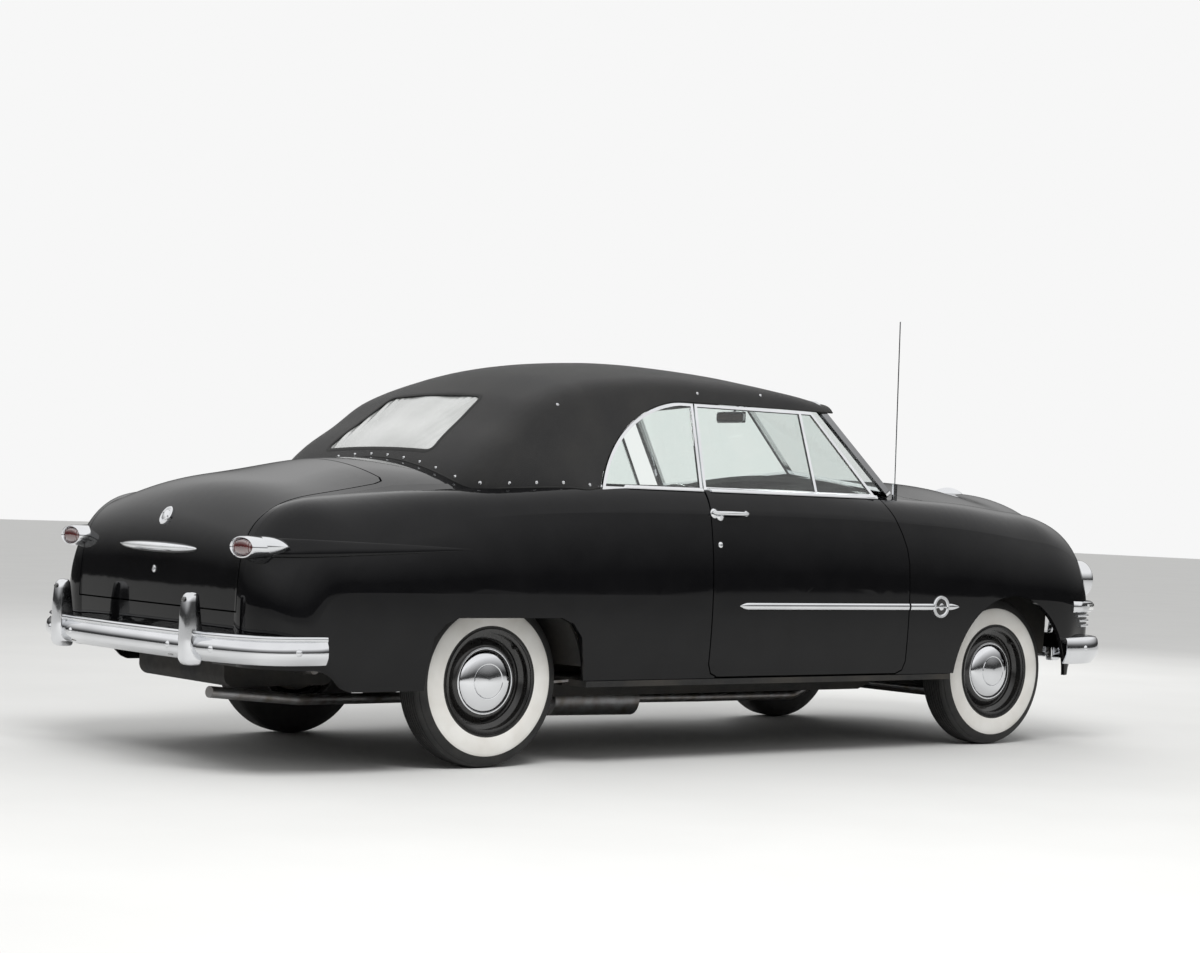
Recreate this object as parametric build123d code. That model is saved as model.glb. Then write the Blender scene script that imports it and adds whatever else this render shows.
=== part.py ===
from build123d import *
from math import sin, cos, radians, atan2
import os

os.makedirs("parts", exist_ok=True)

# Two-door convertible of the early 1950s with its fabric top up, in millimetres.
# X points forward, Y to the car's left, Z up. The origin is on the ground, under the middle.

# Overall sizes
LENGTH = 4950
WIDTH = 1852
WHEELBASE = 2896
REAR_OVERHANG = 1225
TRACK = 1422

REAR_AXLE_X = REAR_OVERHANG - LENGTH / 2
FRONT_AXLE_X = REAR_AXLE_X + WHEELBASE
FRONT_OVERHANG = LENGTH - REAR_OVERHANG - WHEELBASE
HALF_WIDTH = WIDTH / 2

# The lines of the body were drawn on a car of these sizes and stretch with the ones above
DRAWN_REAR_AXLE = -1250
DRAWN_FRONT_AXLE = 1646
DRAWN_REAR_OVERHANG = 1225
DRAWN_FRONT_OVERHANG = 829
DRAWN_HALF_WIDTH = 926


def along(x):
    """Place along the car, from a place on the drawing."""
    if x < DRAWN_REAR_AXLE:
        return REAR_AXLE_X + (x - DRAWN_REAR_AXLE) * REAR_OVERHANG / DRAWN_REAR_OVERHANG
    if x > DRAWN_FRONT_AXLE:
        return FRONT_AXLE_X + (x - DRAWN_FRONT_AXLE) * FRONT_OVERHANG / DRAWN_FRONT_OVERHANG
    share = (x - DRAWN_REAR_AXLE) / (DRAWN_FRONT_AXLE - DRAWN_REAR_AXLE)
    return REAR_AXLE_X + share * WHEELBASE


def across(y):
    """Place across the car, from a place on the drawing."""
    return y * HALF_WIDTH / DRAWN_HALF_WIDTH


# Tyres and wheels
TYRE_RADIUS = 341
TYRE_WIDTH = 164
BEAD_RADIUS = 192
HUB_BORE_RADIUS = 24
SPINDLE_FIT = 0.05
HUB_Z = TYRE_RADIUS
WHEEL_Y = TRACK / 2

# Body walls and gaps
SKIN = 25
DOOR_WALL = 100
PANEL_GAP = 6
DOOR_FRONT_GAP = 7
SEAM = 0.5
SEAT_GAP = 0.3
OPEN_BELOW = 90

# Cutting blocks reach from below the body to above it, and this far to the sides
BODY_FLOOR = 200
BODY_CEILING = 1400
FAR = 4000

# Doors
DOOR_REAR_X = along(-220)
DOOR_FRONT_X = along(937)
DOOR_BELT_FRONT_X = along(831)
DOOR_BOTTOM_Z = 350
BELT_Z = 1130
DOOR_INNER_Y = across(780)

# Lid, hood and cowl
LID_FRONT_X = along(-1620)
LID_SIDE_FRONT_Y = across(575)
LID_SIDE_REAR_Y = across(640)
LID_BOTTOM_Z = 607
HOOD_REAR_X = along(1112)
HOOD_SIDE_REAR_Y = across(690)
HOOD_SIDE_FRONT_Y = across(560)
HOOD_FRONT_Z = 905
HOOD_TAPER_X = along(1230)
NOSE_X = along(2130)

# Cabin opening in the top of the body
CABIN_REAR_X = along(-1290)
CABIN_FRONT_X = along(895)
CABIN_HALF_WIDTH = across(770)

# Wheel openings
REAR_ARCH_TOP_Z = 597
REAR_ARCH_HALF = 372
FRONT_ARCH_RADIUS = 392
FRONT_ARCH_Z = 305

# Hinges: a pin behind the panel's edge, in an arm that passes inside the panel
HINGE_SETBACK = 60
HINGE_PIN_RADIUS = 4
HINGE_BARREL_RADIUS = 6.5
HINGE_HEIGHT = 40
HINGE_PIN_REACH = 18
HINGE_ARM = 10
HINGE_REACH_MIN = 78
HINGE_CLEAR_OF_WALL = 25
DOOR_HINGE_DEPTH = 14
LID_HINGE_DEPTH = 12

# Body sections: each leans forward by FAN degrees about the low point (X, Z).
# Y is the half width and R the height above the low point at the sill B, the widest
# point C, the shoulder D, the belt E and the middle of the crown F.
BODY = [
    # X, Z, FAN, YB, YC, RC, YD, RD, YE, RE, RF
    (-2040, 400, -90, 868, 872, 70, 840, 160, 622, 248, 255),
    (-2025, 370, -64, 874, 882, 100, 850, 211, 622, 310, 318),
    (-2005, 345, -42, 880, 892, 170, 858, 329, 626, 450, 459),
    (-1985, 330, -26, 884, 898, 280, 858, 468, 630, 637, 660),
    (-1965, 322, -12, 888, 903, 360, 862, 576, 634, 709, 781),
    (-1950, 320, 0, 890, 906, 370, 866, 585, 638, 725, 813),
    (-1600, 320, 0, 893, 912, 370, 872, 630, 675, 756, 878),
    (-1000, 320, 0, 896, 919, 370, 883, 690, 790, 795, 892),
    (-300, 320, 0, 897, 922, 370, 888, 706, 832, 806, 898),
    (500, 320, 0, 897, 922, 370, 888, 706, 832, 808, 898),
    (1000, 320, 0, 896, 920, 370, 882, 694, 760, 806, 896),
    (1450, 320, 0, 893, 911, 370, 867, 668, 648, 788, 893),
    (1800, 320, 0, 885, 900, 360, 850, 635, 600, 760, 874),
    (2050, 325, 0, 875, 887, 335, 835, 590, 572, 727, 845),
    (2070, 330, 12, 862, 872, 300, 815, 532, 557, 688, 839),
    (2090, 340, 26, 845, 850, 230, 790, 410, 548, 565, 648),
    (2105, 355, 44, 830, 835, 140, 770, 266, 545, 389, 409),
    (2120, 380, 66, 820, 825, 85, 765, 186, 545, 276, 291),
    (2130, 430, 90, 815, 818, 60, 760, 150, 545, 232, 245),
]


def mirrored(shape):
    """The same shape on the car's right side."""
    return shape.mirror(Plane.XZ)


def both(shape):
    """A left-hand shape and its twin on the right."""
    return [shape, mirrored(shape)]


def body_section(row, inset):
    x, z, fan, yb, yc, rc, yd, rd, ye, re, rf = row
    lean = radians(fan)
    plane = Plane(origin=(along(x), 0, z), x_dir=(0, 1, 0), z_dir=(cos(lean), 0, -sin(lean)))
    sill = (across(yb) - inset, -5 if inset > SKIN / 2 else 0)
    side = (across(yc) - inset, rc)
    shoulder = (across(yd) - inset, rd - 0.35 * inset)
    belt = (across(ye) - 0.2 * inset, re - inset)

    def half(hand):
        def at(point):
            return (hand * point[0], point[1])
        lower = TangentArc([at(side), at(sill)], tangent=(0, -1))
        upper = TangentArc([at(side), at(shoulder)], tangent=(0, 1))
        end = upper % 1
        top = TangentArc([at(shoulder), at(belt)], tangent=(end.X, end.Y))
        return [lower, upper, top]

    floor = Line((-sill[0], sill[1]), sill)
    crown = ThreePointArc(belt, (0, rf - inset), (-belt[0], belt[1]))
    edges = [floor, crown, *half(1), *half(-1)]
    return plane * Face(Wire([e for part in edges for e in part.edges()]))


def body_form(inset):
    """The closed form of the body, set in from its outer surface."""
    return loft([body_section(row, inset) for row in BODY])


def slab(x0, x1, y0, y1, z0, z1):
    """A block between two corners."""
    return Pos((x0 + x1) / 2, (y0 + y1) / 2, (z0 + z1) / 2) * Box(x1 - x0, y1 - y0, z1 - z0)


def side_prism(points, y0, y1):
    """A side-view outline of (x, z) points, extruded across the car."""
    outline = Plane(origin=(0, y0, 0), x_dir=(1, 0, 0), z_dir=(0, 1, 0))
    face = make_face(Polyline([(x, -z) for x, z in points], close=True))
    return extrude(outline * face, y1 - y0)


def plan_prism(points, z0, z1):
    """A plan-view outline of (x, y) points, extruded upward."""
    return Pos(0, 0, z0) * extrude(make_face(Polyline(points, close=True)), z1 - z0)


def tube(start, end, radius):
    """A round bar between two points."""
    a = Vector(start)
    b = Vector(end)
    length = (b - a).length
    bar = Cylinder(radius, length, align=(Align.CENTER, Align.CENTER, Align.MIN))
    return Plane(origin=a, z_dir=b - a) * bar


def whole(shape):
    """One compound or solid from a shape or a list of shapes."""
    if isinstance(shape, (list, tuple)):
        solids = [s for item in shape for s in whole_solids(item)]
        return solids[0] if len(solids) == 1 else Compound(children=solids)
    return shape


def whole_solids(shape):
    return list(shape.solids())


def largest(shape):
    """The main solid of a cut shape, without the crumbs beside it."""
    return max(shape.solids(), key=lambda solid: solid.volume)


def save(name, shape):
    export_step(whole(shape), f"parts/{name}.step")


outer = body_form(0)
clear_of_body = body_form(-SEAT_GAP)
skin_void = body_form(SKIN)
wall_void = body_form(DOOR_WALL)
body_skin = outer - skin_void - Pos(0, 0, -OPEN_BELOW) * skin_void
body_wall = outer - wall_void
inside_skin = body_form(SKIN + SEAT_GAP)


# Hinges
def hinge(depth, wall, leg):
    """Arm with its pin and the pocket it needs. The pin runs along Z, X points to the panel's
    edge at HINGE_SETBACK, and Y out through the panel's skin at the given depth."""
    reach = max(wall - depth + HINGE_CLEAR_OF_WALL, HINGE_REACH_MIN)
    half = HINGE_HEIGHT / 2
    barrel = Cylinder(HINGE_BARREL_RADIUS, HINGE_HEIGHT)
    arm = slab(-HINGE_ARM / 2, HINGE_ARM / 2, -reach, 0, -half, half)
    foot = slab(-HINGE_ARM / 2, leg, -reach - HINGE_ARM, -reach, -half, half)
    pin = Cylinder(HINGE_PIN_RADIUS, HINGE_HEIGHT + 2 * HINGE_PIN_REACH)
    body = barrel + arm + foot + pin
    pocket = slab(-HINGE_BARREL_RADIUS - 4, HINGE_SETBACK + 8, -wall - 5, HINGE_BARREL_RADIUS + 1,
                  -half - 2, half + 2)
    bores = Cylinder(HINGE_PIN_RADIUS + SPINDLE_FIT, HINGE_HEIGHT + 2 * HINGE_PIN_REACH + 2)
    return body, pocket + bores


# Doors
DOOR_HINGE_X = DOOR_FRONT_X - DOOR_FRONT_GAP / 2 - HINGE_SETBACK
DOOR_HINGE_Y = across(905)
DOOR_HINGE_ZS = [505, 790]
POST_X = along(960)

DOOR_EDGE = [
    (DOOR_REAR_X, DOOR_BOTTOM_Z + 55), (DOOR_REAR_X, 1300), (DOOR_BELT_FRONT_X - 30, 1300),
    (DOOR_BELT_FRONT_X, 1135), (along(845), 1085), (along(872), 1035), (along(905), 968),
    (along(928), 905), (DOOR_FRONT_X, 840), (DOOR_FRONT_X, DOOR_BOTTOM_Z + 55),
    (DOOR_FRONT_X - 16, DOOR_BOTTOM_Z + 16), (DOOR_FRONT_X - 55, DOOR_BOTTOM_Z),
    (DOOR_REAR_X + 55, DOOR_BOTTOM_Z), (DOOR_REAR_X + 16, DOOR_BOTTOM_Z + 16),
]


def door_prism(grow):
    """The door's outline, grown or shrunk, on the left side."""
    drawing = Plane(origin=(0, DOOR_INNER_Y, 0), x_dir=(1, 0, 0), z_dir=(0, -1, 0))
    outline = make_face(Polyline(DOOR_EDGE, close=True))
    outline = offset(outline, grow)
    return extrude(drawing * outline, -(HALF_WIDTH + 40 - DOOR_INNER_Y))


door_opening = door_prism(PANEL_GAP / 2)
door_blank = door_prism(-PANEL_GAP / 2)
JAMB_SET = 10
jamb = plan_prism([
    (DOOR_REAR_X, HALF_WIDTH - 40), (DOOR_REAR_X - 5, DOOR_INNER_Y - 40),
    (DOOR_REAR_X + JAMB_SET + 8, DOOR_INNER_Y - 40), (DOOR_REAR_X + 4, HALF_WIDTH - 40)],
    300, BODY_CEILING)
door_shell = (body_wall & door_blank) - jamb

door_hinge, door_pocket = hinge(DOOR_HINGE_DEPTH, DOOR_WALL, POST_X - DOOR_HINGE_X - SEAM)
door_hinges = []
for z in DOOR_HINGE_ZS:
    place = Pos(DOOR_HINGE_X, DOOR_HINGE_Y, z)
    door_hinges.append(place * door_hinge)
    door_shell = door_shell - place * door_pocket

# Side glass plane, leaning in towards the roof
GLASS_Y = across(816)
GLASS_TOP_Y = across(688)
GLASS_TOP_Z = 1490
GLASS_LEAN = atan2(GLASS_Y - GLASS_TOP_Y, GLASS_TOP_Z - BELT_Z)
GLASS = 6
FRAME = 14
glass_plane = Plane(origin=(0, GLASS_Y, BELT_Z), x_dir=(1, 0, 0),
                    z_dir=(0, -cos(GLASS_LEAN), -sin(GLASS_LEAN)))


def glass_height(z):
    """Distance up the leaning glass for a height above the ground."""
    return (z - BELT_Z) / cos(GLASS_LEAN)


def pane(outline, thickness, grow=0):
    """A flat piece of the side glass plane from an outline of (x, z) points or edges."""
    face = outline if grow == 0 else offset(outline, grow)
    return extrude(glass_plane * face, thickness / 2, both=True)


FRAME_LOW_Z = BELT_Z - 6
QUARTER_LOW_Z = BELT_Z - 20
DOOR_GLASS_REAR_X = along(-208)
DOOR_GLASS_REAR_TOP_X = along(-168)
VENT_BAR_X = along(440)
VENT_FRONT_X = along(800)
VENT_FRONT_TOP_X = along(512)


def outline_of(points):
    return make_face(Polyline([(x, glass_height(z)) for x, z in points], close=True))


door_glass = outline_of([
    (DOOR_GLASS_REAR_X, FRAME_LOW_Z), (VENT_FRONT_X, FRAME_LOW_Z),
    (VENT_FRONT_TOP_X, GLASS_TOP_Z), (DOOR_GLASS_REAR_TOP_X, GLASS_TOP_Z)])
vent_bar = outline_of([
    (VENT_BAR_X - FRAME / 2, FRAME_LOW_Z), (VENT_BAR_X + FRAME / 2, FRAME_LOW_Z),
    (VENT_BAR_X + FRAME / 2, GLASS_TOP_Z), (VENT_BAR_X - FRAME / 2, GLASS_TOP_Z)])
door_frame = pane(door_glass, FRAME) - pane(door_glass, FRAME + 2, -FRAME) + pane(vent_bar, FRAME)
door_panes = pane(door_glass, GLASS, -FRAME - SEAT_GAP) - pane(vent_bar, FRAME + 4, SEAT_GAP)

# Quarter windows, with an arched rear edge
QUARTER_REAR_X = along(-752)
QUARTER_MID = (along(-590), 1345)
QUARTER_TOP_X = along(-250)
WINDOW_SPLIT = 8
quarter_low_rear = (QUARTER_REAR_X, glass_height(QUARTER_LOW_Z))
quarter_low_front = (DOOR_GLASS_REAR_X - WINDOW_SPLIT, glass_height(QUARTER_LOW_Z))
quarter_top_front = (DOOR_GLASS_REAR_TOP_X - WINDOW_SPLIT, glass_height(GLASS_TOP_Z))
quarter_top_rear = (QUARTER_TOP_X, glass_height(GLASS_TOP_Z))
quarter_glass = make_face([
    Line(quarter_low_rear, quarter_low_front), Line(quarter_low_front, quarter_top_front),
    Line(quarter_top_front, quarter_top_rear),
    ThreePointArc(quarter_top_rear, (QUARTER_MID[0], glass_height(QUARTER_MID[1])), quarter_low_rear)])
quarter_frame = pane(quarter_glass, FRAME) - pane(quarter_glass, FRAME + 2, -FRAME)
quarter_pane = pane(quarter_glass, GLASS, -FRAME - SEAT_GAP)

# Window slots in the door tops and quarter panels, so that glass and frames stand on the body
window_clearance = pane(door_glass, FRAME + 1, SEAT_GAP) + pane(quarter_glass, FRAME + 1, SEAT_GAP)
door_left = door_shell - window_clearance

# Body shell split into its panels
arch_rear = side_prism([
    (REAR_AXLE_X - REAR_ARCH_HALF - 18, 200), (REAR_AXLE_X - REAR_ARCH_HALF, 420),
    (REAR_AXLE_X - REAR_ARCH_HALF + 22, 520), (REAR_AXLE_X - REAR_ARCH_HALF + 70, 572),
    (REAR_AXLE_X - REAR_ARCH_HALF + 130, REAR_ARCH_TOP_Z),
    (REAR_AXLE_X + REAR_ARCH_HALF - 120, REAR_ARCH_TOP_Z),
    (REAR_AXLE_X + REAR_ARCH_HALF - 62, 574), (REAR_AXLE_X + REAR_ARCH_HALF - 18, 520),
    (REAR_AXLE_X + REAR_ARCH_HALF, 420), (REAR_AXLE_X + REAR_ARCH_HALF + 18, 200)],
    WHEEL_Y - TYRE_WIDTH / 2 - 40, HALF_WIDTH + 30)
arch_front = Pos(FRONT_AXLE_X, 0, FRONT_ARCH_Z) * Rot(90, 0, 0) * Cylinder(
    FRONT_ARCH_RADIUS, HALF_WIDTH - 440, align=(Align.CENTER, Align.CENTER, Align.MIN))
arch_front = Pos(0, HALF_WIDTH + 30, 0) * arch_front

hood_edge = [
    (HOOD_REAR_X, HOOD_SIDE_REAR_Y), (HOOD_TAPER_X, HOOD_SIDE_REAR_Y),
    (NOSE_X, HOOD_SIDE_FRONT_Y), (FAR, HOOD_SIDE_FRONT_Y)]


def hood_outline(grow):
    """Plan of the hood, grown on its sides and rear."""
    left = [(x - (grow if i == 0 else 0), y + grow) for i, (x, y) in enumerate(hood_edge)]
    return left + [(x, -y) for x, y in reversed(left)]


hood_region = plan_prism(hood_outline(-PANEL_GAP / 2), HOOD_FRONT_Z, BODY_CEILING)
hood_opening = plan_prism(hood_outline(PANEL_GAP / 2), HOOD_FRONT_Z - PANEL_GAP, BODY_CEILING)
hood_shell = body_skin & hood_region

LID_CORNER = 60


def lid_outline(grow):
    """Plan of the trunk lid with cut front corners."""
    front = LID_FRONT_X + grow
    left = [(front, LID_SIDE_FRONT_Y + grow - LID_CORNER),
            (front - 0.3 * LID_CORNER, LID_SIDE_FRONT_Y + grow - 0.3 * LID_CORNER),
            (front - LID_CORNER, LID_SIDE_FRONT_Y + grow), (along(-2200), LID_SIDE_REAR_Y + grow),
            (-FAR, LID_SIDE_REAR_Y + grow)]
    return [(x, -y) for x, y in left] + list(reversed(left))


lid_region = plan_prism(lid_outline(-PANEL_GAP / 2), LID_BOTTOM_Z, BODY_CEILING)
lid_opening = plan_prism(lid_outline(PANEL_GAP / 2), LID_BOTTOM_Z - PANEL_GAP, BODY_CEILING)
lid_shell = body_skin & lid_region

cabin_opening = plan_prism([
    (CABIN_REAR_X, -CABIN_HALF_WIDTH + 90), (CABIN_REAR_X, CABIN_HALF_WIDTH - 90),
    (CABIN_REAR_X + 140, CABIN_HALF_WIDTH), (CABIN_FRONT_X - 60, CABIN_HALF_WIDTH),
    (CABIN_FRONT_X, CABIN_HALF_WIDTH - 60), (CABIN_FRONT_X, -CABIN_HALF_WIDTH + 60),
    (CABIN_FRONT_X - 60, -CABIN_HALF_WIDTH), (CABIN_REAR_X + 140, -CABIN_HALF_WIDTH)], 700, 1400)

# Front fenders: from the door's front edge to the nose, outside the hood
COWL_SPLIT_Y = HOOD_SIDE_REAR_Y + PANEL_GAP / 2
FRONT_PANEL_X = along(2060)
fender_plan = plan_prism([
    (along(700), COWL_SPLIT_Y + SEAM), (HOOD_REAR_X, COWL_SPLIT_Y + SEAM),
    (HOOD_TAPER_X, COWL_SPLIT_Y), (NOSE_X, HOOD_SIDE_FRONT_Y + PANEL_GAP / 2),
    (FAR, HOOD_SIDE_FRONT_Y + PANEL_GAP / 2), (FAR, FAR / 3), (along(700), FAR / 3)],
    BODY_FLOOR, BODY_CEILING)
sill_cut = slab(along(-900), FRONT_AXLE_X - 300, 0, HALF_WIDTH + 50, 200, DOOR_BOTTOM_Z - PANEL_GAP / 2)
behind_door = side_prism([
    (-FAR, 200), (DOOR_FRONT_X - 60, 200), (DOOR_FRONT_X - 60, DOOR_BOTTOM_Z + 100),
    (DOOR_BELT_FRONT_X - 60, 1050), (DOOR_BELT_FRONT_X - 60, 1400), (-FAR, 1400)], 0, HALF_WIDTH + 50)
below_hood = slab(FRONT_AXLE_X, FAR, 0, HOOD_SIDE_FRONT_Y + PANEL_GAP / 2 + SEAM, BODY_FLOOR, BODY_CEILING)
HEADLIGHT_Y = across(706)
HEADLIGHT_Z = 772
HEADLIGHT_RADIUS = 96
headlight_hole = Pos(along(2130), HEADLIGHT_Y, HEADLIGHT_Z) * Rot(0, 90, 0) * Cylinder(
    HEADLIGHT_RADIUS, 400, align=(Align.CENTER, Align.CENTER, Align.MIN))
fender = body_skin & fender_plan
fender = fender - sill_cut - behind_door - door_opening - arch_front - headlight_hole - below_hood

# Quarter panels: thick beside the cabin, a skin behind it
QUARTER_WALL_END = along(-700)
TAIL_LIGHT_Y = across(700)
TAIL_LIGHT_Z = 846
quarter_front = slab(QUARTER_WALL_END, DOOR_REAR_X + 40, CABIN_HALF_WIDTH + SEAM, FAR / 3,
                     BODY_FLOOR, BODY_CEILING)
deck_split = plan_prism([
    (-FAR, LID_SIDE_REAR_Y + 34), (along(-2200), LID_SIDE_REAR_Y + 34),
    (LID_FRONT_X, LID_SIDE_FRONT_Y + 40), (CABIN_REAR_X, CABIN_HALF_WIDTH - 89),
    (CABIN_REAR_X + 140, CABIN_HALF_WIDTH + SEAM), (QUARTER_WALL_END, CABIN_HALF_WIDTH + SEAM),
    (QUARTER_WALL_END, FAR / 3), (-FAR, FAR / 3)], BODY_FLOOR, BODY_CEILING)
quarter = (body_wall & quarter_front) + (body_skin & deck_split)
quarter = quarter - door_opening - sill_cut - arch_rear - window_clearance

# Deck panel: around the lid, behind the cabin and below the lid between the quarters
deck_region = plan_prism([
    (CABIN_REAR_X + 138, CABIN_HALF_WIDTH), (CABIN_REAR_X, CABIN_HALF_WIDTH - 90),
    (LID_FRONT_X, LID_SIDE_FRONT_Y + 40 - SEAM), (along(-2200), LID_SIDE_REAR_Y + 34 - SEAM),
    (-FAR, LID_SIDE_REAR_Y + 34 - SEAM), (-FAR, -LID_SIDE_REAR_Y - 34 + SEAM),
    (along(-2200), -LID_SIDE_REAR_Y - 34 + SEAM), (LID_FRONT_X, -LID_SIDE_FRONT_Y - 40 + SEAM),
    (CABIN_REAR_X, -CABIN_HALF_WIDTH + 90), (CABIN_REAR_X + 138, -CABIN_HALF_WIDTH)],
    BODY_FLOOR, BODY_CEILING)
deck = (body_skin & deck_region) - lid_opening - cabin_opening
LID_BRACKET_X = along(-1515)
LID_BRACKET_HALF = 12
lid_bracket = outer & slab(LID_BRACKET_X - LID_BRACKET_HALF, LID_BRACKET_X + LID_BRACKET_HALF, -200, 200, 1080,
                           BODY_CEILING)
deck = deck + lid_bracket

# Cowl: the strip between hood and windshield, firewall and door posts
cowl_region = plan_prism([
    (HOOD_REAR_X - PANEL_GAP / 2, COWL_SPLIT_Y), (HOOD_REAR_X - PANEL_GAP / 2, -COWL_SPLIT_Y),
    (along(700), -COWL_SPLIT_Y), (along(700), COWL_SPLIT_Y)], 600, 1400)
FIREWALL_X = along(1088)
FIREWALL_HALF = 10
POST_LOW_Z = 356
firewall = inside_skin & slab(FIREWALL_X - FIREWALL_HALF, FIREWALL_X + FIREWALL_HALF, -HALF_WIDTH, HALF_WIDTH,
                              POST_LOW_Z, BODY_CEILING)
firewall = firewall + (outer & slab(FIREWALL_X - FIREWALL_HALF, FIREWALL_X + FIREWALL_HALF, -COWL_SPLIT_Y,
                                    COWL_SPLIT_Y, 800, BODY_CEILING))
post = slab(POST_X, POST_X + 60, DOOR_INNER_Y - 40, DOOR_INNER_Y + 25, POST_LOW_Z, 1100)
cowl_top = (body_skin & cowl_region) - cabin_opening - hood_opening
cowl_side = slab(POST_X, FIREWALL_X, DOOR_INNER_Y - 6, DOOR_INNER_Y + 4, POST_LOW_Z, BELT_Z) & inside_skin
cowl = cowl_top + firewall
for part in both(cowl_side) + both(post & inside_skin):
    cowl = cowl + part

# Front panel: below the hood, between the fenders, with the grille opening
GRILLE_TOP_Z = 760
GRILLE_BOTTOM_Z = 500
GRILLE_HALF = across(520)
front_region = slab(FRONT_PANEL_X, FAR, -HOOD_SIDE_FRONT_Y - PANEL_GAP / 2, HOOD_SIDE_FRONT_Y + PANEL_GAP / 2,
                    200, HOOD_FRONT_Z - PANEL_GAP)
grille_opening = slab(FRONT_PANEL_X, FAR, -GRILLE_HALF, GRILLE_HALF, GRILLE_BOTTOM_Z, GRILLE_TOP_Z)
front_panel = (body_skin & front_region) - grille_opening


def top_of_body(x, y):
    """Height of the body's outer surface at a place in plan."""
    return (outer & slab(x - 1, x + 1, y - 1, y + 1, 900, 1400)).bounding_box().max.Z


# Hood and lid on their hinges
HINGE_Y = 80
HOOD_HINGE_X = HOOD_REAR_X + PANEL_GAP / 2 + HINGE_SETBACK
LID_HINGE_X = LID_FRONT_X - PANEL_GAP / 2 - HINGE_SETBACK
HOOD_HINGE_Z = top_of_body(HOOD_HINGE_X, HINGE_Y) - LID_HINGE_DEPTH
LID_HINGE_Z = top_of_body(LID_HINGE_X, HINGE_Y) - LID_HINGE_DEPTH
hood_hinge, hood_pocket = hinge(LID_HINGE_DEPTH, SKIN, HOOD_HINGE_X - FIREWALL_X - FIREWALL_HALF - SEAM)
lid_hinge, lid_pocket = hinge(LID_HINGE_DEPTH, SKIN, LID_BRACKET_X - LID_BRACKET_HALF - LID_HINGE_X - SEAM)
lid_hinges = []
for y in (-HINGE_Y, HINGE_Y):
    hood_place = Plane(origin=(HOOD_HINGE_X, y, HOOD_HINGE_Z), x_dir=(-1, 0, 0), z_dir=(0, 1, 0))
    lid_place = Plane(origin=(LID_HINGE_X, y, LID_HINGE_Z), x_dir=(1, 0, 0), z_dir=(0, -1, 0))
    lid_hinges += [hood_place.location * hood_hinge, lid_place.location * lid_hinge]
    hood_shell = hood_shell - hood_place.location * hood_pocket
    lid_shell = lid_shell - lid_place.location * lid_pocket

# Windshield: two flat panes that meet in a shallow V
SHIELD_BASE_MID = (along(1045), 0, 1230)
SHIELD_BASE_OUT = (along(905), across(775), 1152)
SHIELD_TOP_MID = (along(725), 0, 1570)
SHIELD_FRAME = 24
shield_base = Vector(SHIELD_BASE_OUT) - Vector(SHIELD_BASE_MID)
shield_rise = Vector(SHIELD_TOP_MID) - Vector(SHIELD_BASE_MID)
shield_plane = Plane(origin=SHIELD_BASE_MID, x_dir=shield_base, z_dir=shield_base.cross(shield_rise))
SHIELD_TOP_OUT = (along(610), across(640), 1530)
shield_points = [shield_plane.to_local_coords(Vector(p)) for p in
                 (SHIELD_BASE_MID, SHIELD_BASE_OUT, SHIELD_TOP_OUT, SHIELD_TOP_MID)]
shield_face = make_face(Polyline([(p.X, p.Y) for p in shield_points], close=True))


def shield(thickness, grow):
    return extrude(shield_plane * offset(shield_face, grow), thickness / 2, both=True)


middle = slab(-FAR, FAR, 0, FAR, 0, 2000)
shield_ring = (shield(SHIELD_FRAME, SHIELD_FRAME) - shield(SHIELD_FRAME + 8, -SHIELD_FRAME / 2)) & middle
shield_glass = shield(GLASS, -SHIELD_FRAME / 2 - SEAT_GAP) - clear_of_body
shield_frame = (shield_ring + mirrored(shield_ring)) - clear_of_body

# Folding top: sections lean back behind the quarter windows. P and Q are the points where
# the side turns into the roof and the roof's crown starts, as half width Y and height R.
TOP = [
    # X, Z, FAN, YB, YP, RP, YQ, RQ, RM
    (650, 1100, 0, 828, 690, 384, 612, 432, 470),
    (420, 1100, 0, 828, 686, 410, 600, 468, 522),
    (100, 1100, 0, 828, 684, 430, 590, 494, 560),
    (-350, 1100, 0, 828, 684, 432, 585, 498, 566),
    (-760, 1100, 0, 828, 692, 372, 575, 448, 512),
    (-800, 1098, -25, 832, 708, 338, 565, 412, 452),
    (-825, 1090, -47, 832, 735, 325, 565, 402, 440),
    (-840, 1078, -66, 826, 762, 350, 590, 452, 486),
    (-850, 1062, -80, 816, 772, 395, 620, 500, 536),
    (-855, 1040, -93, 800, 765, 420, 630, 520, 548),
]
TOP_CLOTH = 10


def top_section(row, inset):
    x, z, fan, yb, yp, rp, yq, rq, rm = row
    lean = radians(fan)
    plane = Plane(origin=(along(x), 0, z), x_dir=(0, 1, 0), z_dir=(cos(lean), 0, -sin(lean)))
    base = (across(yb) - inset, -3 * inset)
    side = (across(yp) - inset, rp - 0.4 * inset)
    shoulder = (across(yq) - 0.4 * inset, rq - inset)

    def half(hand):
        def at(point):
            return (hand * point[0], point[1])
        wall = Line(at(base), at(side))
        turn = TangentArc([at(side), at(shoulder)], tangent=((side[0] - base[0]) * hand, side[1] - base[1]))
        return [wall, turn]

    floor = Line((-base[0], base[1]), base)
    crown = ThreePointArc(shoulder, (0, rm - inset), (-shoulder[0], shoulder[1]))
    edges = [floor, crown, *half(1), *half(-1)]
    return plane * Face(Wire([e for part in edges for e in part.edges()]))


def top_form(inset, front=0):
    rows = TOP if not front else [(TOP[0][0] + front,) + TOP[0][1:]] + TOP[1:]
    return loft([top_section(row, inset) for row in rows], ruled=True)


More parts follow.
